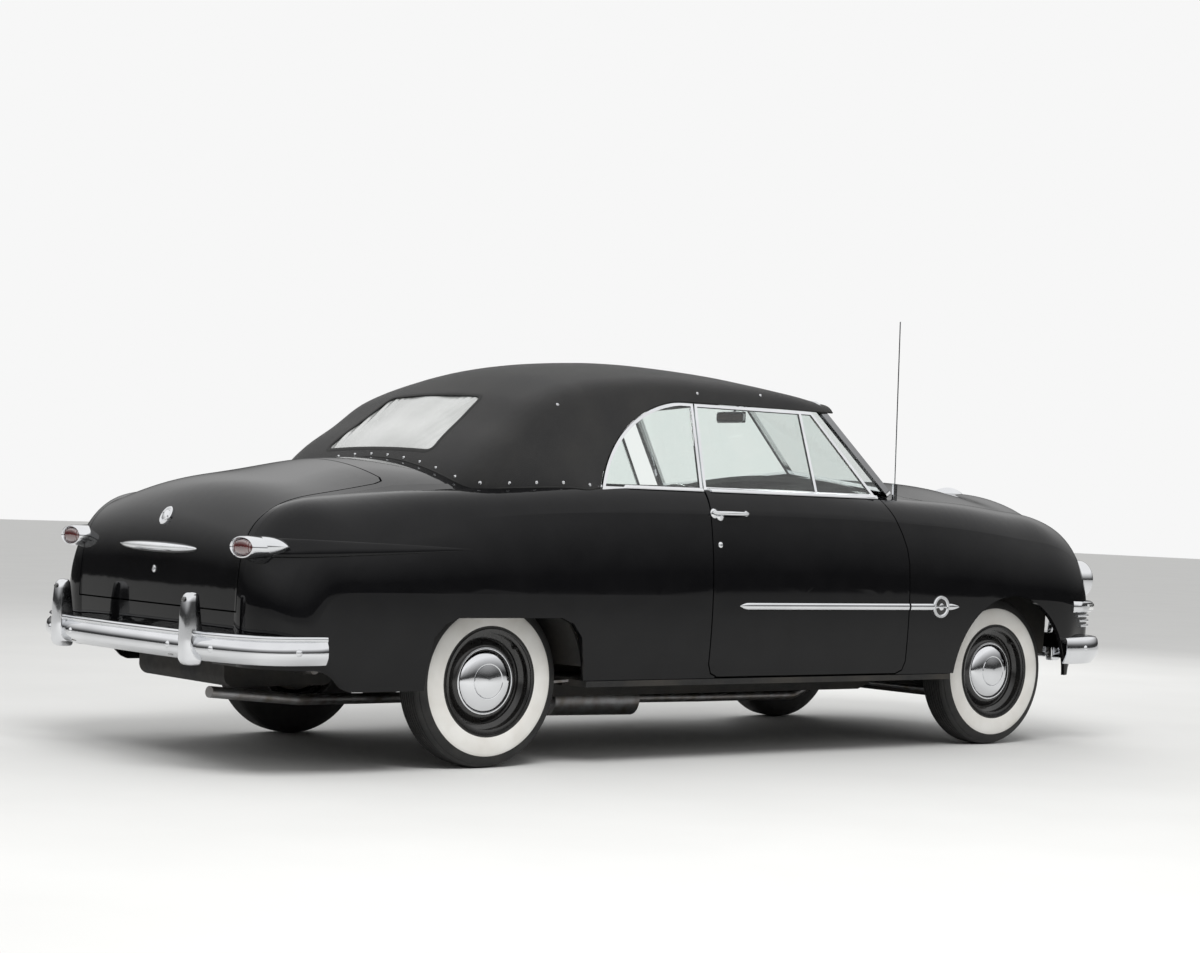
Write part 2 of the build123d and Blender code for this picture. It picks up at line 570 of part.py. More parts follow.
TOP_FRONT_X = along(TOP[0][0])
top_outer = top_form(0)
top_inner = top_form(TOP_CLOTH, 40)
window_zone = pane(door_glass + quarter_glass + make_face(Polyline([
    (DOOR_GLASS_REAR_X - WINDOW_SPLIT - 2, glass_height(FRAME_LOW_Z)),
    (DOOR_GLASS_REAR_X + 2, glass_height(FRAME_LOW_Z)),
    (DOOR_GLASS_REAR_TOP_X + 2, glass_height(GLASS_TOP_Z)),
    (DOOR_GLASS_REAR_TOP_X - WINDOW_SPLIT - 2, glass_height(GLASS_TOP_Z))], close=True)), 260, PANEL_GAP)
front_zone = side_prism([
    (VENT_FRONT_X - 120, 1000), (VENT_FRONT_X + 300, 1000), (VENT_FRONT_X + 300, GLASS_TOP_Z + PANEL_GAP),
    (VENT_FRONT_TOP_X - 40, GLASS_TOP_Z + PANEL_GAP)], 500, 1000)
top_shell = top_outer - top_inner - clear_of_body
for part in both(window_zone) + both(front_zone):
    top_shell = top_shell - part
header_clear = shield(SHIELD_FRAME + 2 * SEAT_GAP, SHIELD_FRAME + SEAT_GAP)
top_shell = top_shell - header_clear - mirrored(header_clear)

# Rear window, lying in the slope of the top
REAR_WINDOW_LOW = (along(-1300), 1242)
REAR_WINDOW_HIGH = (along(-1008), 1478)
slope = Vector(REAR_WINDOW_HIGH[0] - REAR_WINDOW_LOW[0], 0, REAR_WINDOW_HIGH[1] - REAR_WINDOW_LOW[1])
window_plane = Plane(origin=(REAR_WINDOW_LOW[0], 0, REAR_WINDOW_LOW[1]), x_dir=(0, -1, 0),
                     z_dir=Vector(0, -1, 0).cross(slope))
window_face = fillet(make_face(Polyline([
    (-across(400), 0), (across(400), 0), (across(338), slope.length), (-across(338), slope.length)],
    close=True)).vertices(), 28)
window_hole = extrude(window_plane * offset(window_face, SEAT_GAP), 120, both=True)
top_shell = top_shell - window_hole
window_sheet = (top_form(3) - top_form(7)) & extrude(window_plane * window_face, 120, both=True)

# Bows under the cloth, and the rails over the side windows
BOW = 26
BOW_CLEARANCE = 12
under_cloth = top_form(TOP_CLOTH + SEAT_GAP)
bow_frame = []
for x in (330, -60, -450):
    block = under_cloth & slab(along(x) - 20, along(x) + 20, -FAR, FAR, GLASS_TOP_Z + BOW_CLEARANCE, 2000)
    bow_frame.append(block - Pos(0, 0, -BOW) * block)
rail = under_cloth & slab(along(-640), TOP_FRONT_X - 92, across(640), across(668), GLASS_TOP_Z + BOW_CLEARANCE,
                          GLASS_TOP_Z + 40)
bow_frame = bow_frame[0] + bow_frame[1] + bow_frame[2] + rail + mirrored(rail)

# Floor: pan with its tunnel, rockers, rear kick-up and wheelhouses
FLOOR_Z = 350
SHEET = 8
REAR_FLOOR_Z = 520
REAR_KICK_X = along(-900)
ROCKER_REAR_X = REAR_AXLE_X + REAR_ARCH_HALF + 24
ROCKER_FRONT_X = FRONT_AXLE_X - FRONT_ARCH_RADIUS - 20
ROCKER_TOP_Z = DOOR_BOTTOM_Z - PANEL_GAP
WHEELHOUSE_Y = WHEEL_Y - TYRE_WIDTH / 2 - 40
WHEELHOUSE_RADIUS = TYRE_RADIUS + 55
TUNNEL_HALF = 95
TUNNEL_TOP_Z = 500
GEARBOX_HALF = 170
GEARBOX_TOP_Z = 640
GEARBOX_REAR_X = along(640)
BULKHEAD_X = along(-1105)
BULKHEAD_TOP_Z = 1040
FLOOR_HALF = across(790)
pan_front = slab(REAR_KICK_X, FIREWALL_X - FIREWALL_HALF, -FLOOR_HALF, FLOOR_HALF, FLOOR_Z - SHEET, FLOOR_Z)
kick = slab(REAR_KICK_X, REAR_KICK_X + SHEET, -FLOOR_HALF, FLOOR_HALF, FLOOR_Z - SHEET, REAR_FLOOR_Z)
pan_rear = slab(along(-2200), REAR_KICK_X + SHEET, -FLOOR_HALF, FLOOR_HALF, REAR_FLOOR_Z - SHEET, REAR_FLOOR_Z)
bulkhead = slab(BULKHEAD_X - SHEET, BULKHEAD_X, -WHEELHOUSE_Y, WHEELHOUSE_Y, REAR_FLOOR_Z, BULKHEAD_TOP_Z)


def wheel_drum(radius, y0, y1):
    """A round block on the rear wheel's axis, on the left."""
    return Pos(REAR_AXLE_X, y1, HUB_Z) * Rot(90, 0, 0) * Cylinder(
        radius, y1 - y0, align=(Align.CENTER, Align.CENTER, Align.MIN))


house = wheel_drum(WHEELHOUSE_RADIUS + SHEET, WHEELHOUSE_Y - SHEET, across(868))
house_void = wheel_drum(WHEELHOUSE_RADIUS, WHEELHOUSE_Y, across(900))
above_house = slab(-FAR, FAR, -FAR, FAR, HUB_Z + 60, 2000)
house_shell = (house - house_void) & above_house
rocker = outer & slab(ROCKER_REAR_X, ROCKER_FRONT_X, across(782), FAR, 300, ROCKER_TOP_Z)
tunnel = slab(REAR_KICK_X + 1, FIREWALL_X - FIREWALL_HALF, -TUNNEL_HALF, TUNNEL_HALF,
              FLOOR_Z - SHEET, TUNNEL_TOP_Z)
tunnel_void = slab(REAR_KICK_X - 40, FIREWALL_X + 40, -TUNNEL_HALF + SHEET, TUNNEL_HALF - SHEET, BODY_FLOOR,
                   TUNNEL_TOP_Z - SHEET)
gearbox_cover = slab(GEARBOX_REAR_X, FIREWALL_X - FIREWALL_HALF, -GEARBOX_HALF, GEARBOX_HALF,
                     FLOOR_Z - SHEET, GEARBOX_TOP_Z)
gearbox_void = slab(GEARBOX_REAR_X + SHEET, FIREWALL_X + 40, -GEARBOX_HALF + SHEET, GEARBOX_HALF - SHEET,
                    BODY_FLOOR, GEARBOX_TOP_Z - SHEET)
floor_pan = pan_front + kick + pan_rear + tunnel + gearbox_cover
for part in both(rocker):
    floor_pan = floor_pan + part
for part in both(house):
    floor_pan = floor_pan - part
floor_pan = floor_pan + bulkhead
for part in both(house_shell):
    floor_pan = floor_pan + part
floor_pan = floor_pan - tunnel_void - gearbox_void
cowl = cowl - gearbox_void
floor_pan = (floor_pan & inside_skin) + rocker + mirrored(rocker)
floor_pan = floor_pan - quarter - mirrored(quarter)

# Frame: two side rails with kick-ups, joined by cross members
RAIL_Y = 400
RAIL_HALF = 30
rail_outline = [
    (along(-2280), 405), (along(-1900), 405), (along(-1520), 425), (along(-1130), 425), (along(-940), 240),
    (along(1120), 240), (along(1300), 310), (along(2270), 310), (along(2270), 400), (along(1260), 400),
    (along(1080), 336), (along(-915), 336), (along(-1080), 505), (along(-1560), 505), (along(-1900), 490),
    (along(-2280), 490)]
side_rail = side_prism(rail_outline, RAIL_Y - RAIL_HALF, RAIL_Y + RAIL_HALF)
rail_inner = RAIL_Y - RAIL_HALF


def cross_member(x, z0, z1, half=35):
    return slab(along(x) - half, along(x) + half, -rail_inner, rail_inner, z0, z1)


SPRING_Y = 520
SPRING_HALF = 25
SPRING_PIN = 8
SPRING_EYE_RADIUS = 20
FRONT_EYE = (along(-640), 318)
REAR_EYE = (along(-1900), 380)
frame = side_rail + mirrored(side_rail)
for member in [cross_member(-2230, 410, 480), cross_member(-1640, 440, 500), cross_member(-700, 245, 300),
               cross_member(200, 245, 290, 60), cross_member(2000, 315, 395, 50)]:
    frame = frame + member
for (x, z), hanger_top in ((FRONT_EYE, 336), (REAR_EYE, 430)):
    hanger = slab(x - 22, x + 22, RAIL_Y + RAIL_HALF - 2, SPRING_Y - SPRING_HALF - SEAT_GAP,
                  z - 25, hanger_top)
    pin = tube((x, RAIL_Y, z), (x, SPRING_Y + SPRING_HALF + 4, z), SPRING_PIN)
    for part in both(hanger + pin):
        frame = frame + part
FRONT_CROSS_Z = 200
FRONT_CROSS_HEIGHT = 60
FRONT_RAIL_Z = 311
SUSPENSION_HALF = 60
frame = frame + slab(FRONT_AXLE_X - SUSPENSION_HALF, FRONT_AXLE_X + SUSPENSION_HALF, -RAIL_Y - RAIL_HALF,
                     RAIL_Y + RAIL_HALF, FRONT_CROSS_Z, FRONT_CROSS_Z + FRONT_CROSS_HEIGHT)
tower = slab(FRONT_AXLE_X - SUSPENSION_HALF, FRONT_AXLE_X + SUSPENSION_HALF, RAIL_Y - RAIL_HALF,
             RAIL_Y + RAIL_HALF, FRONT_CROSS_Z, FRONT_RAIL_Z)
for part in both(tower):
    frame = frame + part

# Front suspension: a lower and an upper wishbone each side, and the coil spring between
KINGPIN_Y = WHEEL_Y - 75
KNUCKLE_LOW_Z = HUB_Z - 96
KNUCKLE_HIGH_Z = HUB_Z + 96
PIVOT_PIN = 10
PIVOT_PIN_REACH = 24
LOWER_PIVOT = (150, 432, 230)
UPPER_PIVOT = (95, 445, 455)
ARM_BOSS = 26
ARM_BOSS_RADIUS = 24
ARM_RADIUS = 12
ARM_BUSH = 22
ARM_BUSH_RADIUS = 14
ARM_SHAFT_RADIUS = 10
BOSS_DROP = 14
COIL_Y = 505
COIL_Z = 250
COIL_LENGTH = 180
COIL_RADIUS = 52
COIL_BORE_RADIUS = 38
COIL_SEAT_RADIUS = 58


def wishbone(pivot, boss_z, pin_up):
    dx, y, z = pivot
    arm = Pos(FRONT_AXLE_X, KINGPIN_Y, boss_z) * Cylinder(ARM_BOSS_RADIUS, ARM_BOSS)
    for side in (-1, 1):
        root = (FRONT_AXLE_X + side * dx, y, z)
        arm = arm + tube(root, (FRONT_AXLE_X + side * 8, KINGPIN_Y - 12, boss_z), ARM_RADIUS)
        arm = arm + tube(root, (FRONT_AXLE_X + side * (dx + ARM_BUSH), y, z), ARM_BUSH_RADIUS)
    arm = arm + tube((FRONT_AXLE_X - dx, y, z), (FRONT_AXLE_X + dx, y, z), ARM_SHAFT_RADIUS)
    pin = Pos(FRONT_AXLE_X, KINGPIN_Y, boss_z) * Cylinder(
        PIVOT_PIN, ARM_BOSS / 2 + 1 + PIVOT_PIN_REACH,
        align=(Align.CENTER, Align.CENTER, Align.MIN if pin_up else Align.MAX))
    return arm + pin


def coil_ring(radius, z0, z1):
    """A round block on the coil spring's axis."""
    return tube((FRONT_AXLE_X, COIL_Y, z0), (FRONT_AXLE_X, COIL_Y, z1), radius)


lower_arm = wishbone(LOWER_PIVOT, KNUCKLE_LOW_Z - BOSS_DROP, True)
upper_arm = wishbone(UPPER_PIVOT, KNUCKLE_HIGH_Z + BOSS_DROP, False)
COIL_TOP_Z = COIL_Z + COIL_LENGTH
coil_spring = coil_ring(COIL_RADIUS, COIL_Z, COIL_TOP_Z) - coil_ring(COIL_BORE_RADIUS, COIL_Z, COIL_TOP_Z)
coil_seat = coil_ring(COIL_SEAT_RADIUS, COIL_Z - 24, COIL_Z)
upper_seat = coil_ring(COIL_SEAT_RADIUS, COIL_TOP_Z, COIL_TOP_Z + 40)
suspension = lower_arm + upper_arm + coil_spring + coil_seat + upper_seat
mount_block = slab(FRONT_AXLE_X - 120, FRONT_AXLE_X + 120, RAIL_Y - RAIL_HALF, RAIL_Y + RAIL_HALF, 400, 470)
for part in both(mount_block):
    frame = frame + part
suspension = suspension - frame

# Knuckles
upright = Pos(FRONT_AXLE_X, KINGPIN_Y, HUB_Z) * Cylinder(20, KNUCKLE_HIGH_Z - KNUCKLE_LOW_Z)
SPINDLE_RADIUS = HUB_BORE_RADIUS - SPINDLE_FIT
SPINDLE_END_Y = WHEEL_Y + 36
BACKPLATE_Y = KINGPIN_Y + 26
BACKPLATE = 6
BACKPLATE_RADIUS = 150


def spindle(x, y0):
    """Backing plate and spindle for a left wheel."""
    plate = tube((x, BACKPLATE_Y, HUB_Z), (x, BACKPLATE_Y + BACKPLATE, HUB_Z), BACKPLATE_RADIUS)
    shaft = tube((x, y0, HUB_Z), (x, SPINDLE_END_Y, HUB_Z), SPINDLE_RADIUS)
    return plate + shaft


STEERING_ARM_X = FRONT_AXLE_X - 200
STEERING_ARM_Y = KINGPIN_Y - 52
STEERING_ARM_Z = 275
STEERING_ROD_RADIUS = 11
TIE_ROD_Z = STEERING_ARM_Z - 32
steering_arm_end = (STEERING_ARM_X, STEERING_ARM_Y, STEERING_ARM_Z)
steering_arm = tube((FRONT_AXLE_X, KINGPIN_Y, STEERING_ARM_Z), steering_arm_end, STEERING_ROD_RADIUS)
steering_arm = steering_arm + Pos(*steering_arm_end) * Cylinder(16, 22)
knuckle = upright + spindle(FRONT_AXLE_X, KINGPIN_Y) + steering_arm
for end, z in ((Align.MIN, KNUCKLE_LOW_Z), (Align.MAX, KNUCKLE_HIGH_Z)):
    knuckle = knuckle - Pos(FRONT_AXLE_X, KINGPIN_Y, z) * Cylinder(
        PIVOT_PIN + SPINDLE_FIT, PIVOT_PIN_REACH + 2, align=(Align.CENTER, Align.CENTER, end))
tie_rod = tube((STEERING_ARM_X, -STEERING_ARM_Y, TIE_ROD_Z), (STEERING_ARM_X, STEERING_ARM_Y, TIE_ROD_Z),
               STEERING_ROD_RADIUS)
for side in (-1, 1):
    tie_rod = tie_rod + Pos(STEERING_ARM_X, side * STEERING_ARM_Y, TIE_ROD_Z) * Cylinder(15, 28)

# Wheels and tyres, drawn about the wheel's centre with the outside towards +Y
tyre_right = [
    Line((BEAD_RADIUS, 0), (BEAD_RADIUS, 62)), Line((BEAD_RADIUS, 62), (200, 72)),
    ThreePointArc((200, 72), (262, TYRE_WIDTH / 2), (318, 70)),
    ThreePointArc((318, 70), (333, 62), (TYRE_RADIUS - 3, 50)),
    ThreePointArc((TYRE_RADIUS - 3, 50), (TYRE_RADIUS - 0.8, 26), (TYRE_RADIUS, 0))]
tyre_half = make_face([*tyre_right, Line((TYRE_RADIUS, 0), (BEAD_RADIUS, 0))])
tyre = revolve(tyre_half, Axis.Y)
tyre = tyre + tyre.mirror(Plane.XZ)
rim_outline = [(207, -81), (207, -76.5), (191, -73), (191, -45), (172, -38), (172, 20), (191, 30), (191, 73),
               (207, 76.5), (207, 81), (201, 81), (186, 77), (186, 33), (167, 24), (167, -42), (186, -49),
               (186, -77), (201, -81)]
disc_outline = [(170, 4), (170, 16), (135, 40), (110, 48), (80, 42), (HUB_BORE_RADIUS, 42),
                (HUB_BORE_RADIUS, -38),
                (52, -38), (52, 24), (146, 22), (146, -40), (154, -40), (154, 10)]
cap_outline = [(132, 41), (132, 46), (122, 55), (96, 66), (60, 74), (24, 78), (0, 79), (0, 75), (24, 74),
               (60, 70),
               (94, 62), (119, 51), (126, 41)]
wheel = revolve(make_face(Polyline(rim_outline, close=True)), Axis.Y)
wheel = wheel + revolve(make_face(Polyline(disc_outline, close=True)), Axis.Y)
wheel = wheel + revolve(make_face(Polyline(cap_outline, close=True)), Axis.Y)

# Rear axle, springs and propeller shaft
PINION_X = REAR_AXLE_X + 170
PINION_Z = HUB_Z + 8
AXLE_TUBE_RADIUS = 36
DIFFERENTIAL_RADIUS = 128
PINION_RADIUS = 52
axle = tube((REAR_AXLE_X, -BACKPLATE_Y, HUB_Z), (REAR_AXLE_X, BACKPLATE_Y, HUB_Z), AXLE_TUBE_RADIUS)
axle = axle + Pos(REAR_AXLE_X, 0, HUB_Z) * Sphere(DIFFERENTIAL_RADIUS)
axle = axle + tube((REAR_AXLE_X, 0, HUB_Z), (PINION_X, 0, PINION_Z), PINION_RADIUS)
for part in both(spindle(REAR_AXLE_X, BACKPLATE_Y)):
    axle = axle + part
SPRING_TOP_Z = HUB_Z - AXLE_TUBE_RADIUS
leaf_top = [
    (FRONT_EYE[0], FRONT_EYE[1] + 5), (REAR_AXLE_X + 300, SPRING_TOP_Z + 2), (REAR_AXLE_X + 60, SPRING_TOP_Z),
    (REAR_AXLE_X - 60, SPRING_TOP_Z), (REAR_AXLE_X - 320, SPRING_TOP_Z + 14), (REAR_EYE[0], REAR_EYE[1] + 5)]
leaf_pack = [
    (REAR_EYE[0], REAR_EYE[1] - 5), (REAR_AXLE_X - 320, SPRING_TOP_Z - 6), (REAR_AXLE_X - 200, SPRING_TOP_Z - 22),
    (REAR_AXLE_X - 60, SPRING_TOP_Z - 36), (REAR_AXLE_X + 60, SPRING_TOP_Z - 36),
    (REAR_AXLE_X + 200, SPRING_TOP_Z - 26), (REAR_AXLE_X + 300, SPRING_TOP_Z - 10),
    (FRONT_EYE[0], FRONT_EYE[1] - 5)]
leaf_spring = side_prism(leaf_top + leaf_pack, SPRING_Y - SPRING_HALF, SPRING_Y + SPRING_HALF)
for x, z in (FRONT_EYE, REAR_EYE):
    leaf_spring = leaf_spring + tube((x, SPRING_Y - SPRING_HALF, z), (x, SPRING_Y + SPRING_HALF, z),
                                     SPRING_EYE_RADIUS)
for x, z in (FRONT_EYE, REAR_EYE):
    leaf_spring = leaf_spring - tube((x, SPRING_Y - 40, z), (x, SPRING_Y + 40, z), SPRING_PIN + SPINDLE_FIT)
leaf_spring = leaf_spring - axle
SHAFT_FRONT_X = along(690)
SHAFT_FRONT_Z = 430
PROPELLER_RADIUS = 34
shaft = tube((PINION_X + SEAM, 0, PINION_Z), (SHAFT_FRONT_X - 2, 0, SHAFT_FRONT_Z), PROPELLER_RADIUS)

# Engine as one block with its gearbox, radiator, tank and exhaust
ENGINE_REAR_X = along(1160)
ENGINE_FRONT_X = along(1860)
ENGINE_HALF = 250
ENGINE_LOW_Z = 340
ENGINE_TOP_Z = 900
ENGINE_CORNER = 90
GEARBOX_WIDTH = 240
RADIATOR_HALF = 290
RADIATOR_TOP_Z = 930
RADIATOR_FOOT_Z = 395 + SEAT_GAP
engine = slab(ENGINE_REAR_X, ENGINE_FRONT_X, -ENGINE_HALF, ENGINE_HALF, ENGINE_LOW_Z, ENGINE_TOP_Z)
engine = chamfer(engine.edges().filter_by(Axis.X), ENGINE_CORNER)
gearbox = slab(SHAFT_FRONT_X + SEAM, ENGINE_REAR_X + 2, -GEARBOX_WIDTH / 2, GEARBOX_WIDTH / 2, 320, 560)
engine_feet = slab(along(1500), along(1600), -rail_inner + SEAT_GAP, rail_inner - SEAT_GAP, 345, 395)
engine = engine + gearbox + engine_feet
radiator = slab(along(1965), along(2035), -RADIATOR_HALF, RADIATOR_HALF, RADIATOR_FOOT_Z, RADIATOR_TOP_Z)
radiator = chamfer(radiator.edges().filter_by(Axis.X), 40)
TANK_TOP_Z = REAR_FLOOR_Z - SHEET - SEAT_GAP
TANK_LOW_Z = 300
TANK_HALF = 345
TANK_CORNER = 45
tank = slab(along(-2180), along(-1690), -TANK_HALF, TANK_HALF, TANK_LOW_Z, TANK_TOP_Z)
tank = fillet(tank.edges().filter_by(Axis.Y), TANK_CORNER)
tank = tank - cross_member(-1640, 430, 510, 40)
PIPE_RADIUS = 22
PIPE_BEND = 90
PIPE_Y = -250
MUFFLER_RADIUS = 70
pipe_route = [
    (along(1260), -190, 420), (along(1080), -272, 300), (along(860), -262, 205), (along(300), PIPE_Y, 205),
    (along(-700), PIPE_Y, 215), (along(-1000), PIPE_Y, 235), (along(-1500), PIPE_Y, 235),
    (along(-1900), -430, 255), (along(-2340), -520, 300)]
pipe_path = FilletPolyline(*pipe_route, radius=PIPE_BEND)
pipe_start = Plane(origin=pipe_path @ 0, z_dir=pipe_path % 0)
exhaust = sweep(pipe_start * Circle(PIPE_RADIUS), path=pipe_path)
muffler = tube((along(-100), PIPE_Y, 205), (along(-560), PIPE_Y, 212), MUFFLER_RADIUS)
exhaust = exhaust + muffler - frame - engine


# Seats
def cushion(x0, x1, half, z0, z1, radius):
    block = slab(x0, x1, -half, half, z0, z1)
    return fillet(block.edges(), radius)


FRONT_SEAT_X = along(-150)
FRONT_SEAT_HALF = across(660)
FRONT_SEAT_ROUND = 45
FRONT_BACK_LEAN = 12
REAR_SEAT_HALF = WHEELHOUSE_Y - SHEET - 12
REAR_SEAT_ROUND = 40
REAR_BACK_LEAN = 10
seat_over_tunnel = slab(FRONT_SEAT_X - 200, FRONT_SEAT_X + 700, -TUNNEL_HALF - 4, TUNNEL_HALF + 4, 300,
                        TUNNEL_TOP_Z + SEAT_GAP)
front_seat = cushion(FRONT_SEAT_X - 60, FRONT_SEAT_X + 500, FRONT_SEAT_HALF, 400, 560, FRONT_SEAT_ROUND)
front_back = Rot(0, -FRONT_BACK_LEAN, 0) * cushion(-120, 20, FRONT_SEAT_HALF, 0, 480, FRONT_SEAT_ROUND)
front_back = Pos(FRONT_SEAT_X - 30, 0, 520) * front_back
seat_base = slab(FRONT_SEAT_X - 30, FRONT_SEAT_X + 440, -across(600), across(600), FLOOR_Z + SEAT_GAP, 420)
front_bench = front_seat + front_back + seat_base - seat_over_tunnel
rear_cushion = cushion(along(-985), along(-470), REAR_SEAT_HALF, REAR_FLOOR_Z - 90, REAR_FLOOR_Z + 70,
                       REAR_SEAT_ROUND)
rear_floor_zone = slab(-FAR, REAR_KICK_X + SHEET + SEAT_GAP, -FAR, FAR, 0, REAR_FLOOR_Z + SEAT_GAP)
rear_cushion = rear_cushion - rear_floor_zone
rear_base = slab(REAR_KICK_X + SHEET + SEAT_GAP, along(-520), -REAR_SEAT_HALF + 30, REAR_SEAT_HALF - 30,
                 FLOOR_Z + SEAT_GAP, REAR_FLOOR_Z - 60)
rear_back = Rot(0, -REAR_BACK_LEAN, 0) * cushion(-60, 90, REAR_SEAT_HALF, 0, 470, REAR_SEAT_ROUND)
rear_back = Pos(BULKHEAD_X + 150, 0, REAR_FLOOR_Z + 30) * rear_back
rear_bench = rear_cushion + rear_base + rear_back
rear_bench = rear_bench - slab(-FAR, BULKHEAD_X + SEAT_GAP, -FAR, FAR, 0, 2000)
rear_bench = rear_bench - slab(-FAR, FAR, -TUNNEL_HALF - 1, TUNNEL_HALF + 1, 0, TUNNEL_TOP_Z + SEAT_GAP)

# Dashboard and steering
dash = side_prism([
    (along(770), 905), (along(745), 930), (along(742), 1075), (along(762), 1112), (along(800), 1126),
    (along(960), 1128), (FIREWALL_X - FIREWALL_HALF - SEAT_GAP, 1128),
    (FIREWALL_X - FIREWALL_HALF - SEAT_GAP, 1040),
    (along(900), 1010), (along(860), 905)], -across(735), across(735))
dash = (dash & inside_skin) - cowl
COLUMN_TOP = Vector(along(580), 370, 945)
COLUMN_BOTTOM = Vector(along(1330), 370, 540)
column_way = (COLUMN_BOTTOM - COLUMN_TOP).normalized()
COLUMN_RADIUS = 22
SHAFT_RADIUS = 10
column = tube(COLUMN_TOP, COLUMN_BOTTOM, COLUMN_RADIUS)
column = column - tube(COLUMN_TOP - column_way * 5, COLUMN_TOP + column_way * 110, SHAFT_RADIUS + SPINDLE_FIT)
gear_box = slab(along(1300), along(1400), RAIL_Y - 60, RAIL_Y + RAIL_HALF, 400 + SEAT_GAP, 600)
column = column + gear_box
column_hole = tube(COLUMN_TOP, COLUMN_BOTTOM, COLUMN_RADIUS + SEAT_GAP)
dash = dash - column_hole
cowl = cowl - column_hole
hub_plane = Plane(origin=COLUMN_TOP - column_way * 6, z_dir=column_way * -1)
WHEEL_RIM_RADIUS = 215
WHEEL_GRIP_RADIUS = 11
HORN_HUB_RADIUS = 34
SPOKE_WIDTH = 14
SPOKE = 7
steer = Torus(WHEEL_RIM_RADIUS, WHEEL_GRIP_RADIUS)
steer = steer + Pos(0, 0, -12) * Cylinder(HORN_HUB_RADIUS, 40)
spoke = Pos(WHEEL_RIM_RADIUS / 2, 0, -4) * Box(WHEEL_RIM_RADIUS, SPOKE_WIDTH, SPOKE)
for angle in (90, 210, 330):
    steer = steer + Rot(0, 0, angle) * spoke
steering_wheel = hub_plane.location * Pos(0, 0, 34) * steer
steering_shaft = tube(COLUMN_TOP - column_way * 20, COLUMN_TOP + column_way * 100, SHAFT_RADIUS)
steering_wheel = steering_wheel + steering_shaft


# Bumpers: a crowned bar that wraps round the corners, its brackets and guards
def bumper(route, z0, z1, thick, radius):
    path = FilletPolyline(*[(x, y, (z0 + z1) / 2) for x, y in route], radius=radius)
    start = path % 0
    plane = Plane(origin=path @ 0, x_dir=(0, 0, 1), z_dir=start)
    height = z1 - z0
    face = make_face([
        ThreePointArc((-height / 2, 0), (0, BUMPER_CROWN), (height / 2, 0)),
        Line((height / 2, 0), (height / 2, -thick)),
        ThreePointArc((height / 2, -thick), (0, BUMPER_CROWN - thick), (-height / 2, -thick)),
        Line((-height / 2, -thick), (-height / 2, 0))])
    return sweep(plane * face, path=path, transition=Transition.RIGHT)


REAR_BUMPER_Z = (420, 530)
FRONT_BUMPER_Z = (375, 505)
BUMPER_PLATE = 6
BUMPER_CROWN = 16
BUMPER_CORNER = 220
rear_route = [(along(-2075), across(924)), (along(-2335), across(898)), (along(-2440), across(570)),
              (along(-2459), 0.0)]
rear_route = rear_route + [(x, -y) for x, y in reversed(rear_route[:-1])]
front_route = [(along(2010), across(905)), (along(2340), across(868)), (along(2440), across(520)),
               (along(2459), 0.0)]
front_route = front_route + [(x, -y) for x, y in reversed(front_route[:-1])]
rear_bar = bumper(list(reversed(rear_route)), *REAR_BUMPER_Z, BUMPER_PLATE, BUMPER_CORNER)
front_bar = bumper(front_route, *FRONT_BUMPER_Z, BUMPER_PLATE, BUMPER_CORNER)
guard_outline = [(0, 0), (0, 250), (-16, 272), (-42, 262), (-60, 160), (-60, 20), (-40, 0)]
GUARD_Y = across(531)
guard = side_prism([(along(-2415) + x, 400 + z) for x, z in guard_outline], GUARD_Y - 26, GUARD_Y + 26)
front_guard_outline = [(along(2415) - x, 360 + z * 0.85) for x, z in guard_outline]
front_guard = side_prism(front_guard_outline, GUARD_Y - 90, GUARD_Y - 44)
rear_bracket = slab(along(-2445), along(-2280) - SEAT_GAP, RAIL_Y - 20, RAIL_Y + 20, 430, 470)
front_bracket = slab(along(2270) + SEAT_GAP, along(2445), RAIL_Y - 20, RAIL_Y + 20, 380, 398)
rear_bumper = rear_bar
front_bumper = front_bar
for part in both(guard) + both(rear_bracket):
    rear_bumper = rear_bumper + part
for part in both(front_guard) + both(front_bracket):
    front_bumper = front_bumper + part
rear_bumper = rear_bumper - slab(along(-2280) - SEAT_GAP, 0, -FAR, FAR, 0, 400) - frame
deck = deck - slab(-FAR, along(-2000), -RAIL_Y - 45, RAIL_Y + 45, 0, 500)

# Lights, grille and small exterior pieces
LIGHT_FACE_X = along(2322)
headlight = tube((along(2180), HEADLIGHT_Y, HEADLIGHT_Z), (LIGHT_FACE_X, HEADLIGHT_Y, HEADLIGHT_Z),
                 HEADLIGHT_RADIUS - SEAT_GAP)
TAIL_LIGHT_HALF_WIDTH = 88
TAIL_LIGHT_HALF_HEIGHT = 40
TAIL_LIGHT_LENGTH = 92
tail_plane = Plane(origin=(along(-2240), TAIL_LIGHT_Y, TAIL_LIGHT_Z), x_dir=(0, 1, 0), z_dir=(-1, 0, 0))
tail_light = extrude(tail_plane * Ellipse(TAIL_LIGHT_HALF_WIDTH, TAIL_LIGHT_HALF_HEIGHT), TAIL_LIGHT_LENGTH)
tail_light = tail_light - clear_of_body
GRILLE_X = along(2345)
GRILLE_PROUD = 15
grille_zone = slab(FRONT_PANEL_X, FAR, -HOOD_SIDE_FRONT_Y, HOOD_SIDE_FRONT_Y, 608, 656)
grille = (body_form(-GRILLE_PROUD) & grille_zone) - skin_void - front_panel
BULLET_Y = 260
BULLET_Z = 632
BULLET_RADIUS = 88
bullet_ring = Cylinder(BULLET_RADIUS, 40)
bullet_nose = Pos(0, 0, 20) * Cone(BULLET_RADIUS, 30, 70, align=(Align.CENTER, Align.CENTER, Align.MIN))
for y in (-BULLET_Y, BULLET_Y):
    grille = grille + Pos(GRILLE_X, y, BULLET_Z) * Rot(0, 90, 0) * (bullet_ring + bullet_nose)
ANTENNA_X = along(950)
